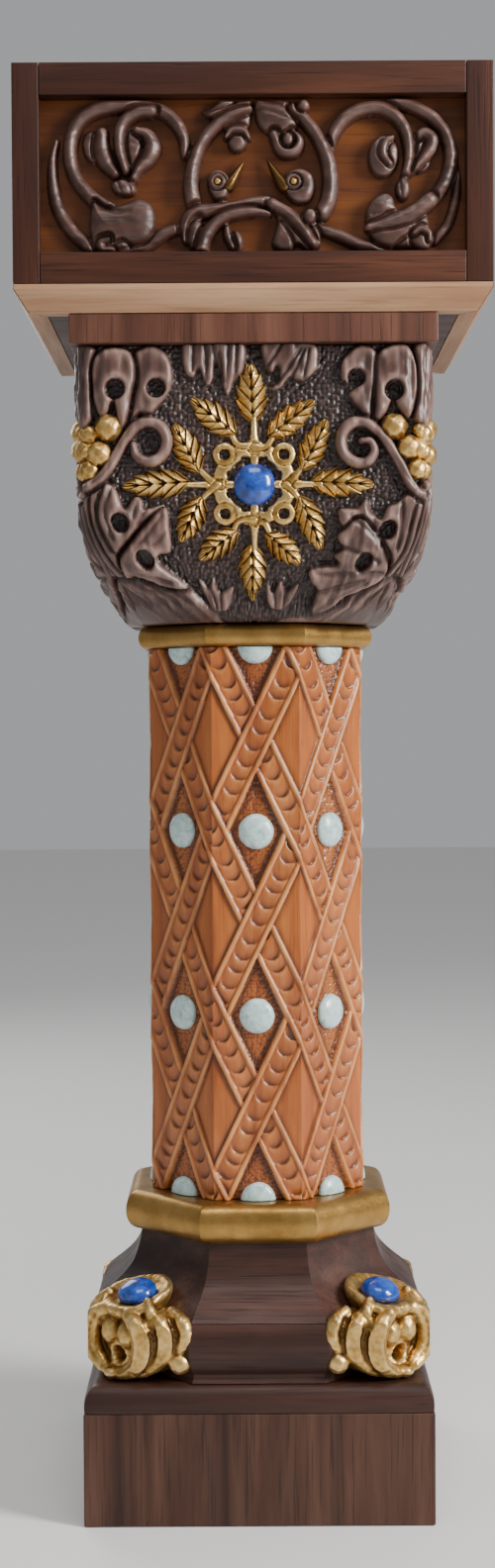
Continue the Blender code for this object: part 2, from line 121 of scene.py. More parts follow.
# ---- noise ----------------------------------------------------------------------------------

def lattice_noise(seed, *coords):
    """Smooth value noise on the integer lattice, 0 to 1, in two or three dimensions."""
    coords = [np.asarray(c, float) for c in coords]
    base = [np.floor(c).astype(np.int64) for c in coords]
    part = [c - b for c, b in zip(coords, base)]
    ease = [p * p * (3 - 2 * p) for p in part]
    total = 0.0
    for corner in range(2 ** len(coords)):
        key = np.full(base[0].shape, seed * 7919 + 17, np.int64)
        weight = 1.0
        for axis, (b, e) in enumerate(zip(base, ease)):
            bit = corner >> axis & 1
            key = (key * 1103515245 + (b + bit) * (374761393 + 668265263 * axis)) & 0x7FFFFFFF
            weight = weight * (e if bit else 1 - e)
        key = (key ^ (key >> 13)) * 1274126177 & 0x7FFFFFFF
        key = (key ^ (key >> 16)) & 0xFFFF
        total = total + weight * key / 65535.0
    return total


def cell_noise(seed, u, v):
    """Distance to the nearest of one random point per unit cell, 0 to about 1."""
    u, v = np.asarray(u, float), np.asarray(v, float)
    bu, bv = np.floor(u), np.floor(v)
    best = np.full(u.shape, 9.0)
    for du in (-1, 0, 1):
        for dv in (-1, 0, 1):
            cu, cv = bu + du, bv + dv
            pu = cu + 0.15 + 0.7 * hash01(seed, cu, cv)
            pv = cv + 0.15 + 0.7 * hash01(seed + 5, cu, cv)
            best = np.minimum(best, (u - pu) ** 2 + (v - pv) ** 2)
    return np.sqrt(best)


def hash01(seed, cu, cv):
    key = (cu.astype(np.int64) * 374761393 + cv.astype(np.int64) * 668265263
           + seed * 982451653) & 0x7FFFFFFF
    key = (key ^ (key >> 13)) * 1274126177 & 0x7FFFFFFF
    return ((key ^ (key >> 16)) & 0xFFFF) / 65535.0


def smoothstep(low, high, x):
    t = np.clip((x - low) / (high - low), 0.0, 1.0)
    return t * t * (3 - 2 * t)


# ---- relief canvas --------------------------------------------------------------------------

def curve(points, steps=8, closed=False):
    """Catmull-Rom curve through given points."""
    p = np.array(points, float)
    if closed:
        p = np.vstack([p[-1], p, p[0], p[1]])
    else:
        p = np.vstack([2 * p[0] - p[1], p, 2 * p[-1] - p[-2]])
    out = []
    for a, b, c, d in zip(p, p[1:], p[2:], p[3:]):
        for i in range(steps):
            t = i / steps
            out.append(0.5 * (2 * b + (c - a) * t + (2 * a - 5 * b + 4 * c - d) * t * t
                              + (3 * b - a - 3 * c + d) * t ** 3))
    if not closed:
        out.append(p[-2])
    return np.array(out)


class Relief:
    """Height above the ground, and signed distance to the carving's outline, on a (u, v) grid."""

    def __init__(self, u_axis, v_axis):
        self.u, self.v = u_axis, v_axis
        self.U, self.V = np.meshgrid(u_axis, v_axis)
        self.H = np.zeros(self.U.shape)
        self.S = np.full(self.U.shape, 50.0)
        self.weight = 1.0
        self.power = 1.8

    def window(self, points, margin):
        low, high = points.min(0) - margin, points.max(0) + margin
        a, b = np.searchsorted(self.u, (low[0], high[0]))
        c, d = np.searchsorted(self.v, (low[1], high[1]))
        return slice(c, d), slice(a, b)

    def along(self, path, margin):
        """Window, distance to a path, and the fraction along it of the nearest point."""
        win = self.window(path, margin)
        U, V = self.U[win], self.V[win]
        best = np.full(U.shape, 1e9)
        place = np.zeros(U.shape)
        lengths = np.hypot(*np.diff(path, axis=0).T)
        total, run = lengths.sum(), 0.0
        for (x0, y0), (x1, y1), length in zip(path[:-1], path[1:], lengths):
            if length < 1e-9:
                continue
            t = np.clip(((U - x0) * (x1 - x0) + (V - y0) * (y1 - y0)) / length ** 2, 0, 1)
            d = np.hypot(U - x0 - t * (x1 - x0), V - y0 - t * (y1 - y0))
            near = d < best
            best = np.where(near, d, best)
            place = np.where(near, (run + t * length) / total, place)
            run += length
        return win, best, place

    @staticmethod
    def crease(H, outside, width, base):
        """Undercut beside an edge: whatever lies there falls away to a low line."""
        fall = smoothstep(2.2 * width, 0.2 * width, outside) * (outside > 0)
        return H - 0.6 * fall * np.maximum(H - base * 0.6, 0)

    def stroke(self, points, radii, base, height, moat=0.8, steps=8):
        """A rounded stem along a path, which cuts a thin moat into whatever it crosses."""
        path = curve(points, steps)
        win, d, place = self.along(path, max(radii) * self.weight + 3.0)
        r = self.weight * np.interp(place, np.linspace(0, 1, len(radii)), radii)
        x = np.clip(d / r, 0, 1)
        h = base + height * (1 - x ** self.power) ** (1 / self.power)
        H = self.H[win]
        if moat:
            H = self.crease(H, d - r, moat, base)
        self.H[win] = np.where(d < r, h, H)
        self.S[win] = np.minimum(self.S[win], d - r)

    def polygon(self, outline, margin=4.0):
        """Window and signed distance to a closed outline, negative inside."""
        win, d, _ = self.along(np.vstack([outline, outline[:1]]), margin)
        U, V = self.U[win], self.V[win]
        inside = np.zeros(U.shape, bool)
        for (x0, y0), (x1, y1) in zip(outline, np.roll(outline, -1, 0)):
            if y0 == y1:
                continue
            crosses = ((y0 > V) != (y1 > V)) & (U < (x1 - x0) * (V - y0) / (y1 - y0) + x0)
            inside ^= crosses
        return win, np.where(inside, -d, d)

    def mass(self, points, base, height, edge=3.0, steps=6, smooth=True, moat=0.0):
        """A cushion with a rounded edge inside an outline."""
        outline = curve(points, steps, closed=True) if smooth else np.array(points, float)
        win, sd = self.polygon(outline)
        x = 1 - np.clip(-sd / edge, 0, 1)
        h = base + height * np.sqrt(np.clip(1 - x * x, 0, 1))
        H = self.H[win]
        if moat:
            H = self.crease(H, sd, moat, base)
        self.H[win] = np.where(sd < 0, np.maximum(h, H) if not moat else h, H)
        self.S[win] = np.minimum(self.S[win], sd)

    def blob(self, centre, radii, base, height, turn=0.0, moat=0.8):
        """A domed oval."""
        c, s = math.cos(math.radians(turn)), math.sin(math.radians(turn))
        reach = max(radii)
        win = self.window(np.array([centre]), reach + 3.0)
        x, y = self.U[win] - centre[0], self.V[win] - centre[1]
        a, b = (c * x + s * y) / radii[0], (-s * x + c * y) / radii[1]
        q = np.hypot(a, b)
        sd = (q - 1) * min(radii)
        h = base + height * np.sqrt(np.clip(1 - q * q, 0, 1))
        H = self.H[win]
        if moat:
            H = self.crease(H, sd, moat, base)
        self.H[win] = np.where(sd < 0, h, H)
        self.S[win] = np.minimum(self.S[win], sd)

    def groove(self, points, width, depth, steps=8, taper=True, floor=0.3):
        """A gouge cut along a path, fading at its far end."""
        win, d, place = self.along(curve(points, steps), width * 3)
        fade = 1 - place ** 3 if taper else 1.0
        H = self.H[win]
        cut = depth * fade * np.exp(-(d / width) ** 2)
        self.H[win] = np.where(H > floor, np.maximum(H - cut, floor), H)

    def hole(self, centre, radius, depth, rim=0.0):
        """A drilled hole with a slightly raised rim."""
        win = self.window(np.array([centre]), radius * 2 + 2)
        d = np.hypot(self.U[win] - centre[0], self.V[win] - centre[1])
        cut = smoothstep(radius + 0.5, radius - 0.6,
                         d) if radius > 1.5 else smoothstep(radius, radius * 0.4, d)
        raised = rim * np.exp(-((d - radius * 1.35) / (radius * 0.3)) ** 2)
        H = self.H[win]
        self.H[win] = np.where(H > 0.2, np.maximum(H + raised - cut * depth, 0.05), H)


def relief_plate(relief, step, place, name, material, thickness=0.35, cavity=None):
    """Close the carved part of a canvas into a solid; its outline is pulled onto the smooth contour."""
    S, H = relief.S, np.maximum(relief.H, 0.0)
    gu, gv = np.gradient(S, step)[1], np.gradient(S, step)[0]
    length = np.maximum(np.hypot(gu, gv), 0.3)
    U, V = relief.U.copy(), relief.V.copy()
    rim = (S > -0.35 * step) & (S < 1.6 * step)
    U[rim] -= (S * gu / length ** 2)[rim]
    V[rim] -= (S * gv / length ** 2)[rim]
    inside = S < 0
    cells = inside[:-1, :-1] | inside[:-1, 1:] | inside[1:, :-1] | inside[1:, 1:]
    reach = np.zeros_like(inside)
    for a in (slice(None, -1), slice(1, None)):
        for b in (slice(None, -1), slice(1, None)):
            reach[a, b] |= cells
    lifted = np.where(rim | ~inside, thickness, np.maximum(H, thickness))
    order = np.full(S.shape, -1)
    count = int(reach.sum())
    order[reach] = np.arange(count)
    quads = np.stack([order[:-1, :-1], order[:-1, 1:], order[1:, 1:], order[1:, :-1]], -1)[cells]
    back = quads[:, ::-1] + count
    # walls follow the cells' free edges
    edges = np.concatenate([quads[:, [0, 1]], quads[:, [1, 2]], quads[:, [2, 3]], quads[:, [3, 0]]])
    forward = set(map(tuple, edges.tolist()))
    free = np.array([e for e in forward if (e[1], e[0]) not in forward])
    walls = np.stack([free[:, 1], free[:, 0], free[:, 0] + count, free[:, 1] + count], -1)
    u, v, h = U[reach], V[reach], lifted[reach]
    verts = np.vstack([place(u, v, h), place(u, v, np.zeros(count))])
    depth = cavity if cavity is not None else cavity_of(relief.H, 4)
    # painted shade: the back gets the darkest tone, so the walls darken towards the ground beneath
    shade = np.concatenate([depth[reach], np.zeros(count)])
    return build_object(name, verts, np.vstack([quads, back, walls]), cavity=shade, material=material)


def blurred(H, radius, wrap=False):
    """Box blur, twice."""
    out = H
    for _ in range(2):
        for axis in (0, 1):
            pad = [(0, 0), (0, 0)]
            pad[axis] = (radius, radius)
            mode = "wrap" if wrap and axis == 1 else "edge"
            total = np.cumsum(np.pad(out, pad, mode=mode), axis=axis)
            total = np.concatenate([np.zeros_like(np.take(total, [0], axis)), total], axis)
            width = 2 * radius + 1
            n = out.shape[axis]
            high = np.take(total, np.arange(width, width + n), axis)
            out = (high - np.take(total, np.arange(n), axis)) / width
    return out


def cavity_of(H, radius, wrap=False, gain=0.45):
    """0.5 on plain surface, less in hollows and more on ridges; the carved wood and gilt materials paint
    shade and highlights from it.
    """
    return np.clip(0.5 + gain * (H - blurred(H, radius, wrap)), 0, 1)


# ---- materials ------------------------------------------------------------------------------

class Shade:
    """A small helper for building node materials."""

    def __init__(self, name):
        self.material = bpy.data.materials.new(name)
        self.material.use_nodes = True
        self.tree = self.material.node_tree
        self.shader = self.tree.nodes["Principled BSDF"]
        self.coords = self.tree.nodes.new("ShaderNodeTexCoord").outputs["Object"]

    def node(self, kind, inputs=(), **settings):
        node = self.tree.nodes.new(kind)
        for key, value in settings.items():
            setattr(node, key, value)
        for key, value in dict(inputs).items():
            self.put(node.inputs[key], value)
        return node

    def put(self, socket, value):
        if isinstance(value, bpy.types.NodeSocket):
            self.tree.links.new(value, socket)
        else:
            socket.default_value = value

    def scaled(self, scale, rotation=(0.0, 0.0, 0.0)):
        return self.node("ShaderNodeMapping", {"Vector": self.coords, "Scale": scale,
                                               "Rotation": rotation}).outputs["Vector"]

    def noise(self, vector, scale, detail=4.0, roughness=0.55, distortion=0.0):
        return self.node("ShaderNodeTexNoise", {"Vector": vector, "Scale": scale, "Detail": detail,
                                                "Roughness": roughness,
                                                "Distortion": distortion}).outputs["Fac"]

    def ramp(self, fac, *stops):
        node = self.node("ShaderNodeValToRGB", {"Fac": fac})
        elements = node.color_ramp.elements
        while len(elements) < len(stops):
            elements.new(0.5)
        for element, (position, colour) in zip(elements, stops):
            element.position = position
            element.color = (*colour, 1.0)
        return node.outputs["Color"]

    def level(self, fac, low, high, to_low=0.0, to_high=1.0):
        return self.node("ShaderNodeMapRange", {"Value": fac, "From Min": low, "From Max": high,
                                                "To Min": to_low, "To Max": to_high}).outputs["Result"]

    def mix(self, fac, a, b, blend="MIX"):
        node = self.node("ShaderNodeMix", data_type="RGBA", blend_type=blend)
        self.put(node.inputs["Factor"], fac)
        self.put(node.inputs[6], a if isinstance(a, bpy.types.NodeSocket) else (*a, 1.0))
        self.put(node.inputs[7], b if isinstance(b, bpy.types.NodeSocket) else (*b, 1.0))
        return node.outputs[2]

    def math(self, operation, a, b=0.0):
        node = self.node("ShaderNodeMath", operation=operation)
        self.put(node.inputs[0], a)
        self.put(node.inputs[1], b)
        return node.outputs[0]

    def cavity(self):
        # the tone that paints shade in the hollows and a highlight on the ridges
        return self.node("ShaderNodeAttribute", attribute_name="cavity").outputs["Fac"]

    def bump(self, height, strength, distance):
        return self.node("ShaderNodeBump", {"Height": height, "Strength": strength,
                                            "Distance": distance}).outputs["Normal"]

    def finish(self, colour, roughness, normal=None, **fixed):
        self.put(self.shader.inputs["Base Color"], colour)
        self.put(self.shader.inputs["Roughness"], roughness)
        if normal is not None:
            self.put(self.shader.inputs["Normal"], normal)
        for key, value in fixed.items():
            self.shader.inputs[key.replace("_", " ")].default_value = value
        return self.material


def wood(name, tones, axis="Z", streak=(), carved=False, roughness=0.42, pore=0.6, figure=1.0, offset=0.0,
         wear_and_highlight=(0.4, 0.3, 0.24)):
    """Straight-grained timber: growth bands, fine pores along the grain, and dark streaks; carved wood also
    gets painted shade in its hollows, and wear with a painted highlight on its ridges.
    """
    shade = Shade(name)
    along, across = 7.0, 90.0
    stretch = {"X": (along, across, across), "Y": (across, along, across),
               "Z": (across, across, along)}[axis]
    fine = {"X": (22.0, 820.0, 820.0), "Y": (820.0, 22.0, 820.0), "Z": (820.0, 820.0, 22.0)}[axis]
    broad = {"X": (2.5, 22.0, 22.0), "Y": (22.0, 2.5, 22.0), "Z": (22.0, 22.0, 2.5)}[axis]
    shift = shade.node("ShaderNodeVectorMath", {0: shade.coords, 1: (offset, offset * 0.7, offset * 1.3)},
                       operation="ADD").outputs[0]
    shade.coords = shift
    bands = shade.noise(shade.scaled(stretch), 1.0, 5.0, 0.62, 0.35)
    wide = shade.noise(shade.scaled(broad), 1.0, 3.0, 0.5, 0.8)
    pores = shade.noise(shade.scaled(fine), 1.0, 2.0, 0.5)
    dark, mid, light = tones
    colour = shade.ramp(bands, (0.28, dark), (0.5, mid), (0.74, light))
    depth = shade.level(wide, 0.3, 0.75, 0.0, 0.75 * figure)
    colour = shade.mix(depth, colour, tuple(0.55 * c for c in dark), "MIX")
    for position, width in streak:
        run = shade.node("ShaderNodeSeparateXYZ", {0: shade.coords}).outputs["X"]
        wander = shade.level(wide, 0.0, 1.0, -0.006, 0.006)
        gap = shade.math("ABSOLUTE", shade.math("SUBTRACT", shade.math("ADD", run, wander),
                                                position + offset))
        colour = shade.mix(shade.level(gap, 0.0, width, 0.55, 0.0), colour, tuple(0.35 * c for c in dark))
    pits = shade.level(pores, 0.56, 0.70, 0.0, 1.0)
    colour = shade.mix(shade.math("MULTIPLY", pits, pore), colour, tuple(0.4 * c for c in dark))
    rough = shade.level(bands, 0.3, 0.7, roughness + 0.08, roughness - 0.05)
    if carved:
        cavity = shade.cavity()
        # painted shade: the hollows of the carving darken towards a deep brown
        colour = shade.mix(shade.level(cavity, 0.5, 0.05, 0.0, 0.85), colour, tuple(0.25 * c for c in dark))
        # wear and a painted highlight: the ridges of the carving turn a paler tint
        worn_and_highlit = shade.math("MULTIPLY", shade.level(cavity, 0.56, 0.9, 0.0, 0.75),
                          shade.level(bands, 0.38, 0.62, 0.25, 1.0))
        colour = shade.mix(worn_and_highlit, colour, wear_and_highlight)
    normal = shade.bump(shade.math("SUBTRACT", shade.math("MULTIPLY", bands, 0.35), pits), 0.25, 0.00025)
    return shade.finish(colour, rough, normal, Specular_IOR_Level=0.5 if carved else 0.3)


def gilding(name, patch=140.0, dark=(0.30, 0.155, 0.035), mid=(0.52, 0.31, 0.085), pale=(0.80, 0.55, 0.21),
            relief=1.0):
    """Aged gold over carved wood: uneven tone, painted shade brown in the hollows, and a painted highlight on
    the ridges.
    """
    shade = Shade(name)
    patches = shade.noise(shade.coords, patch, 5.0, 0.6)
    grainy = shade.noise(shade.coords, 900.0, 3.0, 0.6)
    strokes = shade.noise(shade.scaled((300.0, 300.0, 1100.0)), 1.0, 3.0)
    colour = shade.ramp(patches, (0.3, dark), (0.5, mid), (0.74, pale))
    cavity = shade.cavity()
    # painted shade: the hollows darken to a deep brown
    colour = shade.mix(shade.level(cavity, 0.45, 0.08, 0.0, 0.9), colour, (0.075, 0.032, 0.010))
    # painted highlight: the ridges turn pale gold
    colour = shade.mix(shade.level(cavity, 0.56, 0.95, 0.0, 0.6), colour, (0.95, 0.74, 0.38))
    colour = shade.mix(shade.level(grainy, 0.60, 0.72, 0.0, 0.35), colour, (0.16, 0.075, 0.02))
    rough = shade.level(grainy, 0.3, 0.7, 0.27, 0.44)
    normal = shade.bump(shade.math("ADD", strokes, shade.math("MULTIPLY", grainy, 0.6)), 0.30 * relief,
                        0.0003)
    return shade.finish(colour, rough, normal, Metallic=0.9)


def lapis(name):
    """Polished deep blue stone with paler clouds and a few gold specks."""
    shade = Shade(name)
    clouds = shade.noise(shade.coords, 170.0, 6.0, 0.62, 0.6)
    specks = shade.noise(shade.coords, 1500.0, 2.0, 0.5)
    colour = shade.ramp(clouds, (0.3, (0.004, 0.012, 0.075)), (0.5, (0.008, 0.055, 0.34)),
                        (0.68, (0.018, 0.105, 0.50)), (0.84, (0.10, 0.25, 0.66)))
    colour = shade.mix(shade.level(specks, 0.72, 0.76, 0.0, 0.8), colour, (0.62, 0.52, 0.30))
    normal = shade.bump(clouds, 0.06, 0.0006)
    return shade.finish(colour, 0.16, normal, Specular_IOR_Level=0.6, Coat_Weight=0.4, Coat_Roughness=0.08)


def pale_stone(name):
    """Milky blue-green stone with chalky and darker mottling."""
    shade = Shade(name)
    clouds = shade.noise(shade.coords, 260.0, 6.0, 0.65, 0.9)
    veins = shade.noise(shade.coords, 520.0, 4.0, 0.6, 1.5)
    colour = shade.ramp(clouds, (0.25, (0.22, 0.34, 0.32)), (0.45, (0.42, 0.58, 0.56)),
                        (0.6, (0.55, 0.70, 0.68)), (0.78, (0.74, 0.80, 0.76)))
    colour = shade.mix(shade.level(veins, 0.62, 0.72, 0.0, 0.55), colour, (0.16, 0.25, 0.22))
    normal = shade.bump(clouds, 0.15, 0.0006)
    return shade.finish(colour, 0.24, normal, Specular_IOR_Level=0.55, Coat_Weight=0.25,
                        Coat_Roughness=0.12)


WALNUT_TONES = ((0.026, 0.0075, 0.0036), (0.062, 0.0195, 0.0095), (0.118, 0.042, 0.021))
walnut_x = wood("walnut_rail", WALNUT_TONES, "X", offset=0.3)
walnut_top = wood("walnut_top_board", WALNUT_TONES, "X", streak=((-0.055, 0.006), (0.030, 0.004)),
                  offset=0.6)
walnut_y = wood("walnut_side_rail", WALNUT_TONES, "Y", offset=0.9)
walnut_z = wood("walnut_stile", WALNUT_TONES, "Z", offset=1.7)
walnut_plinth = wood("walnut_plinth", ((0.044, 0.016, 0.009), (0.094, 0.040, 0.024),
                                       (0.150, 0.072, 0.044)), "Z",
                     streak=((-0.072, 0.004), (-0.016, 0.003), (0.040, 0.005)), offset=2.6)
walnut_board = wood("walnut_capital_board", ((0.070, 0.025, 0.015), (0.140, 0.055, 0.034),
                                             (0.205, 0.092, 0.058)),
                    "Z", streak=((-0.032, 0.004), (0.075, 0.004)), offset=4.1)
walnut_mould_x = wood("walnut_moulding", ((0.026, 0.0095, 0.0065), (0.060, 0.0235, 0.0160),
                                          (0.115, 0.050, 0.034)),
                      "X", offset=5.2, figure=1.2)
walnut_carved = wood("walnut_carved", ((0.044, 0.0185, 0.0135), (0.092, 0.042, 0.032),
                                       (0.150, 0.076, 0.060)), "Z",
                     carved=True, roughness=0.38, offset=6.4, wear_and_highlight=(0.30, 0.19, 0.155), figure=1.2)
walnut_scroll = wood("walnut_scroll", ((0.038, 0.0125, 0.0075), (0.088, 0.033, 0.021),
                                       (0.150, 0.066, 0.046)), "X",
                     carved=True, roughness=0.40, offset=7.7, wear_and_highlight=(0.27, 0.165, 0.14), figure=1.3)
sapwood_side = wood("sapwood_side", ((0.30, 0.145, 0.070), (0.47, 0.26, 0.14), (0.58, 0.36, 0.21)), "Y",
                    roughness=0.4,
                    pore=0.3, offset=8.7)
sapwood = wood("sapwood", ((0.30, 0.145, 0.070), (0.47, 0.26, 0.14), (0.58, 0.36, 0.21)), "X",
               roughness=0.4,
               pore=0.3, offset=8.1)
panel_wood = wood("panel_wood", ((0.085, 0.022, 0.006), (0.175, 0.052, 0.012), (0.27, 0.095, 0.024)), "X",
                  roughness=0.38, pore=0.35, offset=9.3)
panel_wood_side = wood("panel_wood_side", ((0.085, 0.022, 0.006), (0.175, 0.052, 0.012),
                                           (0.27, 0.095, 0.024)), "Y",
                       roughness=0.38, pore=0.35, offset=9.9)
cherry = wood("cherry_carved", ((0.24, 0.052, 0.009), (0.40, 0.110, 0.021), (0.52, 0.175, 0.042)), "Z",
              carved=True, roughness=0.30, pore=0.25, figure=0.35, offset=10.5, wear_and_highlight=(0.70, 0.33, 0.115))
gilt = gilding("gilding")
gilt_smooth = gilding("gilding_smooth", 60.0, (0.27, 0.145, 0.034), (0.36, 0.205, 0.055),
                      (0.47, 0.285, 0.085), 0.5)
lapis_stone = lapis("lapis")
white_stone = pale_stone("pale_stone")


# ---- abacus boards --------------------------------------------------------------------------

def repaint(node, material):
    """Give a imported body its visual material."""
    obj = nodes[node]
    if not obj.material_slots:
        obj.data.materials.append(material)
    for slot in obj.material_slots:
        slot.material = material


def in_fixed_order(bm):
    """Points and faces sorted by position, since a bevel leaves them in a different order each run."""
    points = np.array([v.co for v in bm.verts]) / MM
    order = np.lexsort(points.round(4).T[::-1])
    place = np.argsort(order)
    quads, triangles = [], []
    for face in bm.faces:
        loop = [int(place[v.index]) for v in face.verts]
        start = loop.index(min(loop))
        loop = loop[start:] + loop[:start]
        if len(loop) == 4:
            quads.append(loop)
        else:
            triangles += [[loop[0], b, c] for b, c in zip(loop[1:], loop[2:])]
    return points[order], sorted(quads), sorted(triangles)


def softened_board(node, material, width=0.0006, segments=2):
    """A board with its arrises eased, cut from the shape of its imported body."""
    body = nodes[node]
    bm = bmesh.new()
    bm.from_mesh(body.data)
    bm.transform(body.matrix_world)
    bmesh.ops.remove_doubles(bm, verts=bm.verts, dist=1e-6)
    bmesh.ops.dissolve_limit(bm, angle_limit=math.radians(2), verts=bm.verts, edges=bm.edges)
    sharp = [e for e in bm.edges if len(e.link_faces) == 2 and e.calc_face_angle() > math.radians(25)]
    bmesh.ops.bevel(bm, geom=sharp, offset=width, segments=segments, profile=0.6, affect="EDGES",
                    clamp_overlap=True)
    bm.verts.index_update()
    verts, quads, triangles = in_fixed_order(bm)
    bm.free()
    obj = build_object(f"board_{node}", verts, quads, triangles, material=material)
    obj.data.set_sharp_from_angle(angle=math.radians(35))
    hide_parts(node)


for side in ("front", "back", "left", "right"):
    wide = side in ("front", "back")
    for part in ("rail_top", "rail_bottom"):
        softened_board(f"{side}_{part}", walnut_x if wide else walnut_y, width=0.0003)
    for part in ("stile_left", "stile_right"):
        softened_board(f"{side}_{part}", walnut_z, width=0.0003)
    softened_board(f"chamfer_strip_{side}", sapwood if wide else sapwood_side, 0.0004)
    repaint(f"ground_panel_{side}", panel_wood if wide else panel_wood_side)
softened_board("abacus_top_board", walnut_top)
softened_board("abacus_base_board", walnut_x)
softened_board("capital_top_board", walnut_board, width=0.0008)
softened_board("plinth_block", walnut_plinth, width=0.0012, segments=3)
repaint("base_tenon", sapwood)
repaint("neck_tenon", sapwood)


# ---- mouldings ------------------------------------------------------------------------------

def spread(profile, spacing):
    """Resample a smooth (half width, height) profile at an even spacing."""
    path = curve(profile, 12)
    run = np.concatenate([[0], np.cumsum(np.hypot(*np.diff(path, axis=0).T))])
    steps = np.linspace(0, run[-1], max(2, int(run[-1] / spacing)))
    return np.stack([np.interp(steps, run, path[:, 0]), np.interp(steps, run, path[:, 1])], 1)


def octagon_loop(half, ratio, per_side):
    """Plan points around an octagon, front face first, with points along each side."""
    short = half * ratio
    corners = np.array([(-short, -half), (short, -half), (half, -short), (half, short), (short, half),
                        (-short, half), (-half, short), (-half, -short)])
    following = np.roll(corners, -1, 0)
    t = np.linspace(0, 1, per_side, endpoint=False)[None, :, None]
    return (corners[:, None] * (1 - t) + following[:, None] * t).reshape(-1, 2)


def moulding(name, profile, ratio, material, node, waver=0.0, seed=1, spacing=0.9, per_side=36,
             marks=0.0):
    """A mitred octagonal moulding with crisp arrises and slightly hand-worked faces."""
    steps = spread(profile, spacing)
    grid = np.array([np.column_stack([octagon_loop(half, ratio, per_side), np.full(8 * per_side, z)])
                     for half, z in steps])
    if waver:
        fine = lattice_noise(seed, grid[..., 0] / 9, grid[..., 1] / 9, grid[..., 2] / 7) - 0.5
        nudge = 1 + waver * fine / np.hypot(grid[..., 0], grid[..., 1])
        grid[..., :2] *= nudge[..., None]
    if marks:
        chatter = lattice_noise(seed + 3, grid[..., 0] / 2.2, grid[..., 1] / 2.2, grid[..., 2] / 1.4) - 0.5
        grid[..., :2] *= (1 + marks * chatter / np.hypot(grid[..., 0], grid[..., 1]))[..., None]
    verts, quads, triangles = closed_tube(grid)
    obj = build_object(name, verts, quads, triangles, cavity=np.full(len(verts), 0.5), material=material)
    obj.data.set_sharp_from_angle(angle=math.radians(28))
    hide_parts(node)
    return obj


def torus_profile(half, bulge, bottom, top):
    middle, radius = (bottom + top) / 2, (top - bottom) / 2
    angles = np.radians(np.linspace(-90, 90, 15))
    return [(half - bulge + bulge * math.cos(a) ** 0.8, middle + radius * math.sin(a)) for a in angles]


BASE_RATIO = 0.405
low, high = box_mm("base_scotia")
SCOTIA = [(85.3, low[2]), (84.0, 104.6), (82.6, 106.0), (80.6, 107.8), (78.6, 109.5), (76.6, 111.2),
          (74.6, 113.0),
          (72.7, 114.7), (71.0, 116.5), (69.5, 118.2), (68.2, 120.0), (66.9, 122.2), (65.9, 124.5),
          (64.8, 127.3),
          (64.0, 130.0), (63.4, 132.5), (63.0, 135.0), (62.6, high[2])]
moulding("scotia", SCOTIA, BASE_RATIO, walnut_mould_x, "base_scotia", waver=0.5)
low, high = box_mm("base_lower_torus")
LOWER_TORUS = [(84.8, low[2]), (83.0, 74.6), (83.2, 76.6), (84.6, 78.2), (86.2, 80.4), (87.6, 83.4),
               (88.6, 87.0),
               (89.0, 91.0), (88.7, 94.6), (87.9, 97.8), (86.8, 100.6), (85.6, high[2])]
moulding("lower_torus", LOWER_TORUS, BASE_RATIO, walnut_mould_x, "base_lower_torus", waver=0.5,
         seed=4)
low, high = box_mm("base_ring")
moulding("gilt_base_ring", torus_profile(71.0, 8.6, low[2], high[2]), 0.43, gilt_smooth,
         "base_ring",
         waver=0.35, seed=7, marks=0.05)
low, high = box_mm("neck_ring")
moulding("gilt_neck_ring", torus_profile(62.5, 5.0, low[2], high[2]), math.tan(math.pi / 8), gilt_smooth,
         "neck_ring", waver=0.35, seed=9, marks=0.05)


def plinth_cap():
    """Square moulding with a rounded upper edge."""
    low, high = box_mm("plinth_cap")
    profile = [(89.7, low[2]), (90.0, low[2] + 0.6), (90.0, 62.5), (89.5, 65.5), (88.0, 68.6), (85.4, 71.0),
               (82.5, high[2]), (78.0, high[2])]
    steps = spread(profile, 0.9)
    grid = []
    for half, z in steps:
        corners = np.array([(-half, -half), (half, -half), (half, half), (-half, half)])
        t = np.linspace(0, 1, 40, endpoint=False)[None, :, None]
        loop = (corners[:, None] * (1 - t) + np.roll(corners, -1, 0)[:, None] * t).reshape(-1, 2)
        ease = 1 - 0.006 * smoothstep(0.93, 1.0, np.abs(loop).min(1) / half)[:, None]
        grid.append(np.column_stack([loop * ease, np.full(len(loop), z)]))
    verts, quads, triangles = closed_tube(np.array(grid))
    obj = build_object("plinth_cap_moulding", verts, quads, triangles, material=walnut_mould_x)
    obj.data.set_sharp_from_angle(angle=math.radians(35))
    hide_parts("plinth_cap")


plinth_cap()


# ---- shaft ----------------------------------------------------------------------------------

low, high = box_mm("shaft")
SHAFT_LOW, SHAFT_HIGH = low[2], high[2]
SHAFT_HALF = high[0]
FACE_HALF = SHAFT_HALF * math.tan(math.pi / 8)
FIRST_ROW = 160.2
PERIOD = 97.0
BAND_HALF = 8.0
BEAD = 2.9
SCOOP_PITCH = 9.2
STIPPLE_GROUND = -3.4
PLAIN_GROUND = -1.5


def band_height(distance, along, seed):
    """Section of one band: a bead each side of a channel cut into overlapping scoops."""
    d = np.abs(distance)
    bead_middle = BAND_HALF - BEAD / 2
    bead = np.sqrt(np.clip(1 - ((d - bead_middle) / (BEAD / 2)) ** 2, 0, 1))
    wobble = 0.35 * (lattice_noise(seed, along / SCOOP_PITCH, distance * 0 + 3.0) - 0.5)
    channel = BAND_HALF - BEAD
    q = np.mod((along + 0.13 * distance ** 2) / SCOOP_PITCH + wobble, 1.0)
    ramp = q ** 1.6 * smoothstep(1.0, 0.93, q)
    width = np.clip(1 - (d / channel) ** 2, 0, 1)
    scoop = -0.55 - 1.75 * ramp * width ** 0.7
    groove = np.exp(-((d - channel) / 0.5) ** 2)
    return np.where(d > channel, -0.9 + 0.95 * bead, scoop) - 0.45 * groove


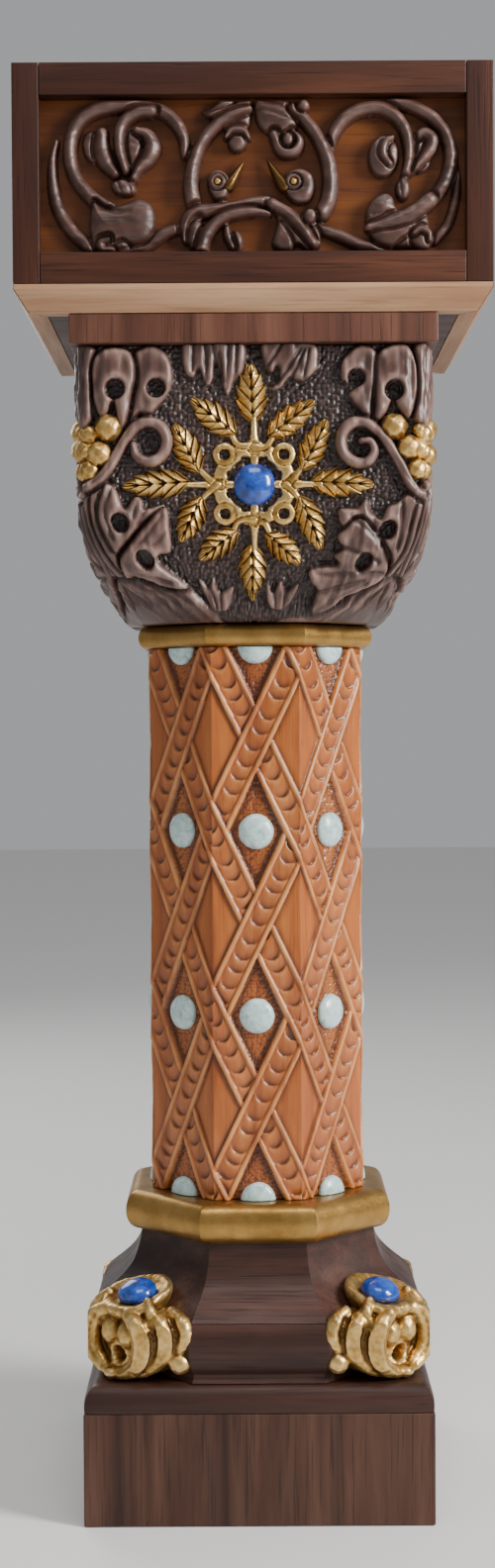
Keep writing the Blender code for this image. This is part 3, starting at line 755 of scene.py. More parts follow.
def shaft_field(u, v):
    """Relief of one face, from its centre line, with cabochon rows at v = 0, 97, ..."""
    slope = PERIOD / 2 / FACE_HALF
    angle = math.atan(slope)
    c, s = math.cos(angle), math.sin(angle)

    def lane(sign):
        offset = np.mod(v - sign * slope * u - PERIOD / 2 + PERIOD / 2, PERIOD) - PERIOD / 2
        return offset * c, -(sign * u * c + v * s)

    rise_d, rise_l = lane(1)
    fall_d, fall_l = lane(-1)
    rise = band_height(rise_d, rise_l, 11)
    fall = band_height(fall_d, fall_l, 12)
    on_rise, on_fall = np.abs(rise_d) < BAND_HALF, np.abs(fall_d) < BAND_HALF
    rise_over = np.abs(u) < FACE_HALF / 2
    # the two signs of the lanes tell which kind of diamond a point is in
    row = np.mod(v + PERIOD / 2, PERIOD) - PERIOD / 2
    stone_field = (np.abs(u) / FACE_HALF + np.abs(row) / (PERIOD / 2)) < 1
    stipple = 0.75 * np.clip(1.15 - 1.5 * cell_noise(21, u / 1.75 + 40, v / 1.75), 0, 1)
    stipple += 0.35 * lattice_noise(22, u / 3.1 + 9, v / 3.1)
    plain = PLAIN_GROUND + 0.22 * (lattice_noise(23, u / 4.0 + 5, v / 14.0) - 0.5)
    ground = np.where(stone_field, STIPPLE_GROUND + stipple - 0.2, plain)
    # the ground rises gently to meet a band's side
    side = np.minimum(np.abs(rise_d), np.abs(fall_d)) - BAND_HALF
    ground = np.where(stone_field, ground, ground + 0.35 * np.exp(-side / 1.2) * -1.0)
    height = ground
    height = np.where(on_fall & ~on_rise, fall, height)
    height = np.where(on_rise & ~on_fall, rise, height)
    both = on_rise & on_fall
    height = np.where(both, np.where(rise_over, rise, fall), height)
    # a small shadow gap where a band dives under the other
    under = np.where(rise_over, fall_d, rise_d)
    over = np.where(rise_over, rise_d, fall_d)
    dive = (np.abs(under) < BAND_HALF) & (np.abs(over) >= BAND_HALF) & (np.abs(over) < BAND_HALF + 3.5)
    height = np.where(dive, height - 0.9 * np.exp(-(np.abs(over) - BAND_HALF) / 1.4), height)
    return height, stone_field & ~on_rise & ~on_fall


def make_shaft():
    per_face = 80
    rows = 486
    z = np.linspace(SHAFT_LOW, SHAFT_HIGH, rows)
    t = np.linspace(-1, 1, per_face, endpoint=False)
    field = []
    grounds = []
    for face in range(8):
        U, V = np.meshgrid(t * FACE_HALF, z - FIRST_ROW)
        # a different patch of noise on each face, the same pattern on all
        height, ground = shaft_field(U, V)
        height = height + 0.25 * (lattice_noise(31 + face, U / 5 + 50 * face, V / 8) - 0.5)
        field.append(height)
        grounds.append(ground)
    H = np.concatenate(field, axis=1)
    grid = np.zeros((*H.shape, 3))
    for face in range(8):
        part = slice(face * per_face, (face + 1) * per_face)
        half = SHAFT_HALF + H[:, part]
        local = np.stack([t[None, :] * half * math.tan(math.pi / 8), -half,
                          np.broadcast_to(z[:, None], half.shape)], -1)
        grid[:, part] = turned(local, 45 * face)
    # painted shade in the hollows and a painted highlight on the ridges of the bands
    cavity = cavity_of(H, 4, wrap=True, gain=0.55)
    # painted shade: the recessed stippled ground is darkened further
    cavity = np.where(np.concatenate(grounds, axis=1), np.clip(cavity - 0.14, 0, 1), cavity)
    verts, quads, triangles = closed_tube(grid)
    shade = np.concatenate([cavity.ravel(), [0.5, 0.5]])
    obj = build_object("carved_shaft", verts, quads, triangles, cavity=shade, material=cherry)
    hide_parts("shaft")


def dome(radius, height, rings=12, girdle=0.16):
    """Points of a cabochon on local +Z, with its back at 0."""
    profile = [(0.0, 0.0), (radius * 0.98, 0.0), (radius, height * girdle)]
    for i in range(1, rings + 1):
        a = math.pi / 2 * i / rings
        profile.append((radius * math.cos(a), height * (girdle + (1 - girdle) * math.sin(a))))
    return np.array(profile)


def stone(name, centre, out, radius, height, material, keep_above=None, keep_below=None, uneven=0.0,
          seed=1,
          node=None):
    """A domed stone set with its axis along `out`; a plane can cut off what a ring would hide."""
    profile = dome(radius, height)
    count = 40
    angles = np.linspace(0, 2 * np.pi, count, endpoint=False)
    rings = profile[1:-1]
    ring_points = np.stack([rings[:, :1] * np.cos(angles), rings[:, :1] * np.sin(angles),
                            np.broadcast_to(rings[:, 1:], (len(rings), count))], -1)
    if uneven:
        bumpy = lattice_noise(seed, ring_points[..., 0] / 3.5, ring_points[..., 1] / 3.5,
                              ring_points[..., 2] / 3.5)
        ring_points *= (1 + uneven * (bumpy - 0.5) / radius)[..., None]
    verts, quads, triangles = closed_tube(ring_points)
    verts[-1] = (0, 0, height)
    side = np.array(Vector(out).orthogonal().normalized())
    if abs(out[2]) < 0.9:
        side = np.cross((0, 0, 1.0), out)
        side /= np.linalg.norm(side)
    frame_axes = np.stack([side, np.cross(out, side), np.array(out, float)])
    verts = verts @ frame_axes + np.array(centre)
    if keep_above is not None:
        verts[:, 2] = np.maximum(verts[:, 2], keep_above)
    if keep_below is not None:
        verts[:, 2] = np.minimum(verts[:, 2], keep_below)
    obj = build_object(name, verts, quads, triangles, material=material)
    obj.data.set_sharp_from_angle(angle=math.radians(60))
    if node:
        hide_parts(node)
    return obj


CABOCHON_RADIUS = 9.3
CABOCHON_HEIGHT = 5.0
CABOCHON_SEAT = 2.9        # depth of its back below the ribbons
STONE_ROWS = 4


def make_cabochons():
    for row in range(STONE_ROWS):
        for face in range(8):
            a = math.radians(45 * face - 90)
            out = np.array([math.cos(a), math.sin(a), 0.0])
            z = FIRST_ROW + row * PERIOD
            centre = out * (SHAFT_HALF - CABOCHON_SEAT) + np.array([0, 0, z])
            stone(f"cabochon_{row + 1}_{face + 1}", centre, out, CABOCHON_RADIUS, CABOCHON_HEIGHT,
                  white_stone,
                  keep_above=SHAFT_LOW + 0.1 if row == 0 else None,
                  keep_below=SHAFT_HIGH - 0.1 if row == STONE_ROWS - 1 else None,
                  uneven=0.5, seed=40 + row * 8 + face)


make_shaft()
make_cabochons()


# ---- capital --------------------------------------------------------------------------------

low, high = box_mm("capital_block")
CAPITAL_LOW, CAPITAL_HIGH = low[2], high[2]
CAPITAL_HALF = high[0]
CAPITAL_SHOULDER = 532.0
CAPITAL_FOOT = 56.0
RELIEF_DEPTH = 7.0
ROSETTE_Z = 531.5


def envelope(t, z):
    """A point of the capital's outer envelope on the front face; t runs -1 to 1 from corner to corner."""
    drop = np.clip((CAPITAL_SHOULDER - z) / (CAPITAL_SHOULDER - CAPITAL_LOW + 3.3), 0, 1)
    half = CAPITAL_FOOT + (CAPITAL_HALF - CAPITAL_FOOT) * np.sqrt(1 - drop ** 2)
    square = 2.9 + 11.0 * smoothstep(466.0, 535.0, z)
    reach = half / (1 + np.abs(t) ** square) ** (1 / square)
    return np.stack([t * reach, -reach, z + 0.0 * t], -1)


def capital_point(u, v, h):
    """Place relief coordinates (across, height above the floor, above the ground) on the front face."""
    u, v, h = np.broadcast_arrays(*(np.asarray(a, float) for a in (u, v, h)))
    t = u / 93.0
    step = 0.004
    across = envelope(t + step, v) - envelope(t - step, v)
    rise = envelope(t, np.minimum(v + 0.4, CAPITAL_HIGH)) - envelope(t, v - 0.4)
    normal = np.cross(across, rise)
    normal /= np.linalg.norm(normal, axis=-1, keepdims=True)
    # towards the foot the ground rises to meet the ring
    lift = (RELIEF_DEPTH - 1.0) * smoothstep(CAPITAL_LOW + 11.0, CAPITAL_LOW + 1.0, v)
    return envelope(t, v) + normal * (np.minimum(h + lift, np.maximum(h, RELIEF_DEPTH))
                                      - RELIEF_DEPTH)[..., None]


def foliage_left(relief):
    """Acanthus, volute and curls of the left half, in millimetres from the rosette's centre."""
    relief.mass([(-36, 72), (-35.5, 57), (-31, 54), (-28, 58), (-24, 50), (-20.5, 55), (-21, 72)], 1.2,
                3.4, 3.0)
    relief.mass([(-21, 72), (-18, 58), (-13.8, 45), (-10, 52), (-5, 58), (-4.7, 72)], 1.2, 4.0, 3.2)
    for path in ([(-31, 70), (-31.5, 57)], [(-25, 70), (-24, 53)], [(-13, 70), (-13.8, 48)],
                 [(-8.5, 70), (-9.5, 54)],
                 [(-18, 66), (-15.5, 52)]):
        relief.groove(path, 1.0, 1.6, taper=False)
    relief.mass([(-99, 28), (-99, 72), (-84, 69.5), (-82.9, 65), (-85.3, 57), (-85.8, 48), (-85.3, 37),
                 (-87.7, 31)],
                2.0, 4.7, 3.6, moat=0.8)
    relief.mass([(-61, 66.5), (-51.5, 70), (-43.8, 65), (-41, 54.4), (-43.8, 45.8), (-49.6, 38.2),
                 (-55.3, 31.5),
                 (-58.1, 35.8), (-64, 29), (-62.9, 37.3), (-60, 49.7), (-59.6, 58.2)], 1.8, 3.8, 3.4,
                 moat=0.8)
    relief.mass([(-84.8, 58.2), (-81.5, 66), (-72.4, 69.5), (-62.4, 66.5), (-60, 55.4), (-62, 45.8),
                 (-63.5, 35.4),
                 (-67.5, 27.5), (-70, 34), (-72.5, 42), (-75, 36.5), (-79.6, 34.5), (-83.4, 41),
                 (-84.8, 50)],
                2.2, 4.4, 3.6, moat=0.9)
    for path in ([(-66, 64), (-64.5, 50), (-66.5, 36)], [(-78.5, 64), (-80.5, 50), (-79, 38)],
                 [(-55.5, 65), (-56.5, 50), (-57.5, 38)], [(-91, 66), (-92.5, 50), (-91.5, 34)]):
        relief.groove(path, 1.9, 0.8)
    relief.groove([(-71.5, 43), (-71.8, 36)], 0.8, 2.4, taper=False)
    relief.hole((-71, 48.2), 5.1, 6.2, 0.5)
    relief.hole((-50, 48.6), 4.7, 5.6, 0.4)
    # lower leaf, upper blade
    relief.mass([(-99, 3), (-88, 2), (-82, 1.5), (-73.4, 0.5), (-69, -6), (-66.5, -12), (-61.5, -6.5),
                 (-57.6, -7.5),
                 (-56.0, -12), (-46.0, -10.6), (-57.5, -20), (-68, -29.5), (-76.3, -35.8), (-80, -42),
                 (-80.9, -50),
                 (-99, -50)], 2.2, 4.2, 3.0, steps=4, moat=0.8)
    for path, depth in (([(-78, -1), (-83.5, -14), (-81.5, -28), (-77.5, -38)], 2.2),
                        ([(-86.5, -1), (-89.5, -18), (-86.5, -36), (-81, -48)], 2.4),
                        ([(-92.5, 0), (-95.5, -18), (-93, -38), (-87, -49)], 2.0),
                        ([(-73.5, -2), (-77.8, -13), (-76.0, -27)], 1.3),
                        ([(-60, -9), (-63, -17)], 1.2), ([(-56, -12), (-60, -20)], 1.2),
                        ([(-51, -12), (-60, -21)], 0.8)):
        relief.groove(path, 1.25, depth, taper=False)
    # lower blade
    relief.mass([(-45.9, -11.4), (-44.3, -22), (-45.2, -34.3), (-51.5, -36.2), (-53.8, -39.5), (-46, -47),
                 (-40.2, -54),
                 (-52.4, -53), (-73.4, -47.5), (-81, -49.5), (-78.2, -38.6), (-68.6, -31), (-57.2, -20.5)],
                2.4, 4.4, 3.2, steps=4, moat=0.9)
    for path, depth in (([(-48, -16), (-58, -27), (-72, -38)], 1.1), ([(-47.5, -25), (-56, -32)], 0.9),
                        ([(-50, -50), (-62, -46), (-77, -46)], 1.3),
                        ([(-46, -50), (-58, -49), (-72, -47)], 0.9)):
        relief.groove(path, 1.2, depth)
    relief.hole((-70.4, -19.5), 4.9, 6.2, 0.5)
    relief.hole((-60.5, -38.1), 5.0, 6.2, 0.6)
    # curls along the foot
    relief.mass([(-99, -49), (-77.2, -49), (-62, -53), (-50, -54.5), (-39, -55), (-33, -60), (-24.5, -66.5),
                 (-30, -72), (-99, -72)], 1.6, 4.4, 3.4, moat=0.9)
    for path, depth in (([(-79, -50), (-66, -56), (-54, -66)], 1.9),
                        ([(-66, -53), (-54, -58), (-42, -68)], 1.7),
                        ([(-52, -55), (-42, -59), (-31, -68)], 1.5),
                        ([(-92, -51), (-80, -60), (-66, -70)], 1.7)):
        relief.groove(path, 1.3, depth, taper=False)
    relief.mass([(-33, -49), (-28, -53), (-24, -49), (-21.5, -56), (-13, -53), (-15, -61), (-22, -64),
                 (-30, -62)],
                1.0, 2.6, 2.2)
    for path in ([(-28, -51), (-25, -62)], [(-20.5, -53), (-22, -63)]):
        relief.groove(path, 0.8, 1.4, taper=False)
    # volute over everything, its stem running down to the corner
    relief.stroke([(-97, -2.5), (-86, 0), (-78.2, 4.6), (-72.5, 12), (-66.5, 21.5), (-60.5, 29.3),
                   (-53.5, 31.6),
                   (-46.8, 28.4), (-44.6, 21.5), (-47.6, 14.2), (-54, 11.6), (-60, 14.6), (-61.5, 20)],
                  [3.6, 3.3, 3.0, 2.9, 3.0, 3.2, 3.2, 2.9, 2.0], 2.6, 4.2, moat=1.0)
    relief.hole((-54.0, 22.3), 5.4, 4.0, 0.0)
    relief.groove([(-86, 0.5), (-78.2, 5.2), (-72.5, 12.6), (-66.5, 22)], 0.9, 1.0)


def foliage_right(relief):
    """The right half: the same plants, drawn a little differently."""
    relief.mass([(4.5, 72), (5.5, 60), (9, 56), (12, 59), (13, 53), (8.5, 47.5), (14, 48.5), (18, 53),
                 (25, 51.5),
                 (31, 56), (33, 60), (30, 72)], 1.2, 3.8, 3.0)
    for path in ([(24, 68), (12, 50)], [(26, 68), (19, 53)], [(28, 68), (25.5, 53)], [(14, 70), (7.5, 60)]):
        relief.groove(path, 0.9, 1.6, taper=False)
    relief.mass([(83.5, 33.5), (85.0, 45), (85.7, 58), (84.5, 70), (99, 72), (99, 28), (88.5, 29.5)], 2.0,
                4.7, 3.4, moat=0.8)
    relief.mass([(45.6, 63), (54.2, 70), (62.8, 66), (63.7, 54.4), (60.9, 42), (59.6, 29.8), (54.2, 36.3),
                 (51.3, 40.1),
                 (48.3, 45.2), (52, 49), (47, 51), (44.2, 54.4)], 1.8, 3.8, 3.2, moat=0.8)
    relief.mass([(63.7, 66), (75.2, 70.5), (82.8, 66), (86.1, 52.5), (84.7, 41.1), (79.9, 32.8),
                 (73.9, 37.6),
                 (71.4, 43.5), (67.5, 35.8), (60.9, 29), (61.2, 38), (61.8, 50)], 2.2, 4.4, 3.6, moat=0.9)
    for path in ([(65.5, 62), (66, 48), (64.5, 35)], [(80.5, 62), (81.5, 48), (79.8, 37)],
                 [(57.5, 63), (56.5, 48), (57.5, 38)],
                 [(91, 66), (92, 50), (91, 34)]):
        relief.groove(path, 1.9, 0.8)
    relief.groove([(71.5, 43), (71, 36)], 0.8, 2.4, taper=False)
    relief.hole((71.8, 47.0), 5.0, 6.2, 0.5)
    relief.hole((52.0, 53.2), 4.4, 5.6, 0.4)
    relief.mass([(43.2, -13.4), (52.6, -12.4), (57.4, -7.6), (60.5, -14), (65.6, -18), (68.5, -12),
                 (74, -9.5), (78, -6),
                 (88, -2), (99, -2), (99, -50), (81, -50), (81.9, -43.5), (68, -30), (55.5, -17.5),
                 (46.5, -23)],
                2.2, 4.2, 3.0, steps=4, moat=0.8)
    relief.mass([(46.2, -23.2), (55, -17), (68, -29.6), (82, -43.2), (81, -50.5), (61.8, -57.5),
                 (44.7, -65.5),
                 (38.4, -64.5), (37.6, -54.8), (32.6, -50), (31.4, -44.3), (45.2, -41.4), (43.0, -37.2),
                 (46.6, -33.2),
                 (43.6, -27.8)], 2.2, 4.2, 3.2, steps=4, moat=0.8)
    for path, depth in (([(49.5, -16.5), (60, -24.5), (72, -35), (81, -42)], 1.2),
                        ([(46, -32.4), (58, -35.5), (70, -40)], 1.7),
                        ([(34, -45.5), (50, -46), (66, -45.5), (79, -46)], 1.5),
                        ([(38, -55), (52, -52.5), (66, -49.5)], 1.3),
                        ([(42, -63), (56, -56.5), (70, -51)], 1.2),
                        ([(57.5, -10), (63, -21), (70, -31)], 1.2),
                        ([(86.5, -4), (84.5, -20), (85.5, -36), (83, -46)], 2.0),
                        ([(93.5, -3), (91.5, -20), (92, -38), (88, -49)], 2.2),
                        ([(76.5, -10), (77.5, -22), (79.5, -33)], 1.4)):
        relief.groove(path, 1.25, depth, taper=False)
    relief.hole((70.4, -23.8), 4.9, 6.2, 0.5)
    relief.hole((60.9, -40.3), 4.8, 6.2, 0.6)
    relief.mass([(99, -49), (86, -48.5), (74, -55), (60, -60.5), (46, -65), (30, -66), (18, -67.6),
                 (24, -72),
                 (99, -72)], 1.6, 4.4, 3.2, moat=0.9)
    for path, depth in (([(84, -50), (72, -58), (60, -69)], 1.9), ([(70, -57), (58, -63), (46, -70)], 1.5),
                        ([(94, -51), (84, -60), (72, -70)], 1.7)):
        relief.groove(path, 1.3, depth, taper=False)
    relief.mass([(7, -51), (11, -56), (15, -50), (19, -55.5), (26, -51.5), (24, -60), (16, -63.5),
                 (8, -61)], 1.0, 2.6, 2.2)
    for path in ([(11.5, -54), (13, -62)], [(19, -54), (18, -62)]):
        relief.groove(path, 0.8, 1.4, taper=False)
    relief.stroke([(97, -6), (88, -5), (81.5, -1), (77.5, 5.5), (71.4, 15.8), (65, 24.4), (57.6, 30.2),
                   (49.6, 30.4),
                   (44.8, 24.6), (45.2, 16.4), (50.6, 11.2), (57.6, 11.2), (61.4, 16), (59.4, 21.2),
                   (54.8, 21.6)],
                  [3.6, 3.3, 3.0, 2.8, 2.9, 3.1, 3.3, 3.2, 3.0, 2.6, 1.8], 2.6, 4.2, moat=1.0)
    relief.groove([(84, -2.5), (77, 5), (70.8, 15.4), (64, 24.8)], 0.9, 1.0)


def make_capital():
    step = 0.72
    per_face = int(186 / step)
    rows = int((CAPITAL_HIGH - CAPITAL_LOW) / step)
    v_axis = np.linspace(CAPITAL_LOW, CAPITAL_HIGH, rows) - ROSETTE_Z
    relief = Relief(np.linspace(-93, 93, per_face + 1), v_axis)
    foliage_left(relief)
    foliage_right(relief)
    U, V, H = relief.U, relief.V, relief.H
    ground = smoothstep(0.9, 0.2, H)
    punched = 1.9 * np.clip(1.1 - 1.45 * cell_noise(61, U / 2.3 + 60, V / 2.3 + 60), 0, 1)
    punched += 0.5 * lattice_noise(62, U / 3.4 + 30, V / 3.4 + 30)
    # short knife facets over the leaves
    facets = 0.9 * (cell_noise(63, U / 6.5 + 40, V / 9.0 + 40) - 0.5)
    facets += 0.8 * (lattice_noise(64, U / 2.4 + 60, V / 10.0 + 60) - 0.5)
    H = H + ground * (punched - 0.4) + (1 - ground) * facets
    H = np.minimum(H, RELIEF_DEPTH + 0.2)
    # the four faces share their corners
    edge = 0.5 * (H[:, 0] + H[:, -1])
    H[:, 0] = edge
    H[:, -1] = edge
    grid = np.concatenate([turned(capital_point(U, V + ROSETTE_Z, H)[:, :-1], 90 * k) for k in range(4)],
                          axis=1)
    # painted shade in the hollows and on the recessed ground, painted highlight on the ridges of the leaves
    tone = cavity_of(np.tile(H[:, :-1], 4), 5, wrap=True, gain=0.26) - 0.33 * np.tile(ground[:, :-1], 4)
    verts, quads, triangles = closed_tube(grid)
    limit = CAPITAL_HALF + 0.6
    verts[:, :2] = np.clip(verts[:, :2], -limit, limit)
    verts[:, 2] = np.clip(verts[:, 2], CAPITAL_LOW, CAPITAL_HIGH)
    shade = np.concatenate([np.clip(tone, 0, 1).ravel(), [0.5, 0.5]])
    obj = build_object("carved_capital", verts, quads, triangles, cavity=shade, material=walnut_carved)
    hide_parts("capital_block")


def join_shells(shells):
    """Stack (verts, quads, triangles, cavity) parts into one set of arrays."""
    verts, quads, triangles, shade, offset = [], [], [], [], 0
    for v, q, t, c in shells:
        verts.append(v)
        quads.append(np.asarray(q).reshape(-1, 4) + offset)
        triangles.append(np.asarray(t).reshape(-1, 3) + offset)
        shade.append(c)
        offset += len(v)
    return np.vstack(verts), np.vstack(quads), np.vstack(triangles), np.concatenate(shade)


def gilt_leaf(root, tip, half_width, seed):
    """A serrated leaf with a midrib and slanting gouge cuts, between two points on the ground."""
    teeth = 5
    root, tip = np.array(root, float), np.array(tip, float)
    direction = (tip - root) / np.linalg.norm(tip - root)
    side = np.array([-direction[1], direction[0]])
    length = np.linalg.norm(tip - root)
    s = np.linspace(0, 1, 61)[:, None]
    w = np.concatenate([np.linspace(-1, 1, 31)])[None, :]
    lean = 0.24 * np.abs(w)
    q = np.mod(teeth * (s - lean) + 0.25, 1.0)
    rim_q = np.mod(teeth * (s - 0.24) + 0.25, 1.0)
    outline = np.sin(np.pi * np.clip(s, 0.0, 1.0) ** 0.82) ** 0.72 * (1 - 0.28 * s)
    outline = outline * (0.88 + 0.24 * rim_q ** 1.5) + 0.06
    x = s * length + 0.9 * np.abs(w) ** 2 * outline * 2.0
    y = w * outline * half_width
    wobble = lattice_noise(seed, s * 9 + 0 * w, w * 2 + 7 + 0 * s) - 0.5
    height = 2.0 + 2.3 * (1 - np.abs(w) ** 2.2) * np.clip(outline, 0,
                                                          1) ** 0.5 + 2.3 * (q
                                                                             - 0.55) * np.clip(outline, 0, 1)
    height = height - 1.2 * np.exp(-(w / 0.10) ** 2) + 0.5 * wobble
    height = np.maximum(height, 0.7)
    # painted shade in the midrib and the bottoms of the cuts, painted highlight on their raised edges
    tone = np.clip(0.30 + 0.5 * q - 0.45 * np.exp(-(w / 0.12) ** 2) - 0.3 * (q < 0.16), 0, 1)
    u = root[0] + x * direction[0] + y * side[0]
    v = root[1] + x * direction[1] + y * side[1]
    front = capital_point(u, v + ROSETTE_Z, height)
    back = capital_point(u[:, [-1, 0]], v[:, [-1, 0]] + ROSETTE_Z, np.full((61, 2), -0.4))
    grid = np.concatenate([front, back], axis=1)
    verts, quads, triangles = closed_tube(grid)
    # painted shade: the leaf's back edges, down on the ground, are darker
    shade = np.concatenate([tone, np.full((61, 2), 0.2)], axis=1)
    return verts, quads, triangles, np.concatenate([shade.ravel(), [0.3, 0.3]])


ROSETTE_LEAVES = [((-33.0, 1.6), (-67.5, -0.9), 8.0), ((-28.0, 6.0), (-41.0, 30.6), 7.4),
                  ((-9.0, 25.0), (-32.2, 43.2), 7.4),
                  ((-0.6, 30.5), (-1.9, 61.0), 8.4), ((7.0, 24.0), (30.8, 42.0), 7.4),
                  ((24.0, 6.6), (37.2, 32.5), 7.2),
                  ((28.0, 1.4), (61.0, -0.3), 8.0), ((22.9, -5.8), (35.8, -34.3), 7.2),
                  ((5.6, -25.0), (25.2, -41.2), 7.2),
                  ((-1.4, -30.5), (-1.4, -60.0), 8.2), ((-8.6, -23.6), (-30.4, -38.8), 7.2),
                  ((-26.8, -5.8), (-39.3, -29.6), 7.4)]


def rosette_ring():
    """Pierced ring round the stone, with four holed lobes and the stems of the leaves."""
    step = 0.5
    axis = np.arange(-36, 36 + step / 2, step)
    relief = Relief(axis, axis)
    r = np.hypot(relief.U, relief.V)
    band = 3.9
    relief.S = np.abs(r - 17.6) - band
    relief.H = np.where(relief.S < 0, 2.4 + 1.9 * np.sqrt(np.clip(1 - (relief.S / band + 1) ** 2, 0, 1)), 0)
    for a in (45, 135, 225, 315):
        c, s = math.cos(math.radians(a)), math.sin(math.radians(a))
        relief.blob((21.4 * c, 21.4 * s), (6.2, 6.2), 2.4, 1.6, moat=0)
    for x, y in ((1, 0), (-1, 0), (0, 1), (0, -1)):
        relief.stroke([(15 * x, 15 * y), (11.3 * x, 11.3 * y)], [2.4, 2.2], 1.8, 1.4, moat=0)
        relief.stroke([(18 * x, 18 * y), (25 * x, 25 * y), (34 * x, 34 * y)], [3.4, 2.0, 1.7], 1.6, 2.2,
                      moat=0)
    for root, tip, _ in ROSETTE_LEAVES:
        x, y = root
        if min(abs(x), abs(y)) > 3:
            start = (x * 0.70, 0.0) if abs(x) > abs(y) else (0.0, y * 0.78)
            relief.stroke([start, (x * 0.9, y * 0.8), (x + 0.18 * (tip[0] - x), y + 0.18 * (tip[1] - y))],
                          [2.6, 1.9, 1.5], 1.4, 1.8, moat=0)
    for a in (45, 135, 225, 315):
        c, s = math.cos(math.radians(a)), math.sin(math.radians(a))
        d = np.hypot(relief.U - 21.5 * c, relief.V - 21.5 * s)
        relief.S = np.maximum(relief.S, 2.7 - d)
    for a in (22.5, 67.5, 112.5, 157.5, 202.5, 247.5, 292.5, 337.5):
        c, s = math.cos(math.radians(a)), math.sin(math.radians(a))
        d = np.hypot(relief.U - 13.4 * c, relief.V - 13.4 * s)
        relief.S = np.maximum(relief.S, 1.6 - d)
    relief.H = relief.H + 0.4 * (lattice_noise(71, relief.U / 2.4 + 30, relief.V / 2.4 + 30) - 0.5)
    return relief, step


ROSETTE_STONE_RADIUS = 10.7
ROSETTE_STONE_HEIGHT = 8.4


def make_rosettes():
    relief, step = rosette_ring()
    for k, side in enumerate(("front", "right", "back", "left")):
        def place(u, v, h, angle=90 * k):
            return turned(capital_point(u, v + ROSETTE_Z, h - 0.3), angle)
        # the ring's tone paints shade in its hollows and a highlight on its ridges
        relief_plate(relief, step, place, f"gilt_ring_{side}", gilt,
                     cavity=cavity_of(relief.H, 4, gain=0.25))
        leaves = []
        for number, (root, tip, half_width) in enumerate(ROSETTE_LEAVES):
            verts, quads, triangles, shade = gilt_leaf(root, tip, half_width, 80 + number + 12 * k)
            leaves.append((turned(verts, 90 * k), quads, triangles, shade))
        verts, quads, triangles, shade = join_shells(leaves)
        obj = build_object(f"gilt_leaves_{side}", verts, quads, triangles, cavity=shade, material=gilt)
        obj.data.set_sharp_from_angle(angle=math.radians(50))
        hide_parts(f"rosette_{side}")
        a = math.radians(90 * k - 90)
        out = np.array([math.cos(a), math.sin(a), 0.0])
        centre = turned(capital_point(0.0, ROSETTE_Z, 0.4), 90 * k)
        stone(f"rosette_lapis_{side}", centre, out, ROSETTE_STONE_RADIUS, ROSETTE_STONE_HEIGHT,
              lapis_stone, node=f"rosette_stone_{side}",
              uneven=0.25, seed=120 + k)


BERRIES = [(-74.8, 28.7, 7.0), (-89.0, 25.5, 4.9), (-80.5, 15.6, 6.5), (-92.0, 16.6, 3.6),
           (-89.4, 7.6, 5.5),
           (71.8, 28.7, 6.8), (80.4, 18.4, 6.2), (88.6, 18.4, 5.8), (87.2, 7.4, 5.4), (88.0, 27.0, 3.4)]


def hammered_ball(centre, radius, seed):
    """A gilt berry with small flats left by the knife."""
    rings, count = 22, 32
    polar = np.linspace(0.03, np.pi - 0.03, rings)[:, None]
    turn = np.linspace(0, 2 * np.pi, count, endpoint=False)[None, :]
    unit = np.stack([np.sin(polar) * np.cos(turn), np.sin(polar) * np.sin(turn),
                     -np.cos(polar) + 0 * turn], -1)
    flats = [Vector((math.sin(i * 2.4 + seed) * math.sqrt(1 - (1 - 2 * (i + 0.5) / 26) ** 2),
                     math.cos(i * 2.4 + seed) * math.sqrt(1 - (1 - 2 * (i + 0.5) / 26) ** 2),
                     1 - 2 * (i + 0.5) / 26)) for i in range(26)]
    reach = np.full(unit.shape[:2], 1.03)
    for flat in flats:
        along = unit @ np.array(flat)
        reach = np.minimum(reach, np.where(along > 0.5, 0.955 / np.maximum(along, 0.5), 9.0))
    points = unit * (reach * radius)[..., None] + np.array(centre)
    verts, quads, triangles = closed_tube(points)
    # painted shade on the flats and a painted highlight on the edges between them
    tone = np.concatenate([np.clip(0.5 + (reach.ravel() - 0.985) * 6, 0, 1), [0.5, 0.5]])
    return verts, quads, triangles, tone


def make_berries():
    for k, side in enumerate(("front", "right", "back", "left")):
        balls = []
        for number, (u, v, radius) in enumerate(BERRIES):
            limit = RELIEF_DEPTH + 0.4 - radius if abs(u) > 85 else RELIEF_DEPTH - radius * 0.72
            centre = turned(capital_point(u, v + ROSETTE_Z, limit), 90 * k)
            balls.append(hammered_ball(centre, radius, 3 * number + k))
        verts, quads, triangles, shade = join_shells(balls)
        limit = CAPITAL_HALF + 6.0
        verts[:, :2] = np.clip(verts[:, :2], -limit, limit)
        build_object(f"gilt_berries_{side}", verts, quads, triangles, cavity=shade, material=gilt)


make_capital()
make_rosettes()
make_berries()


# ---- scroll carvings of the abacus ------------------------------------------------------------

PANEL_CENTRE_Z = 685.0
PANEL_TOP, PANEL_BOTTOM = 38.6, -38.6
GROUND_OFFSET = {"front": 89.75, "back": 89.75, "right": 109.75, "left": 109.75}


def shifted(points, shift, squeeze):
    return [((x + shift) * squeeze, y) for x, y in points]


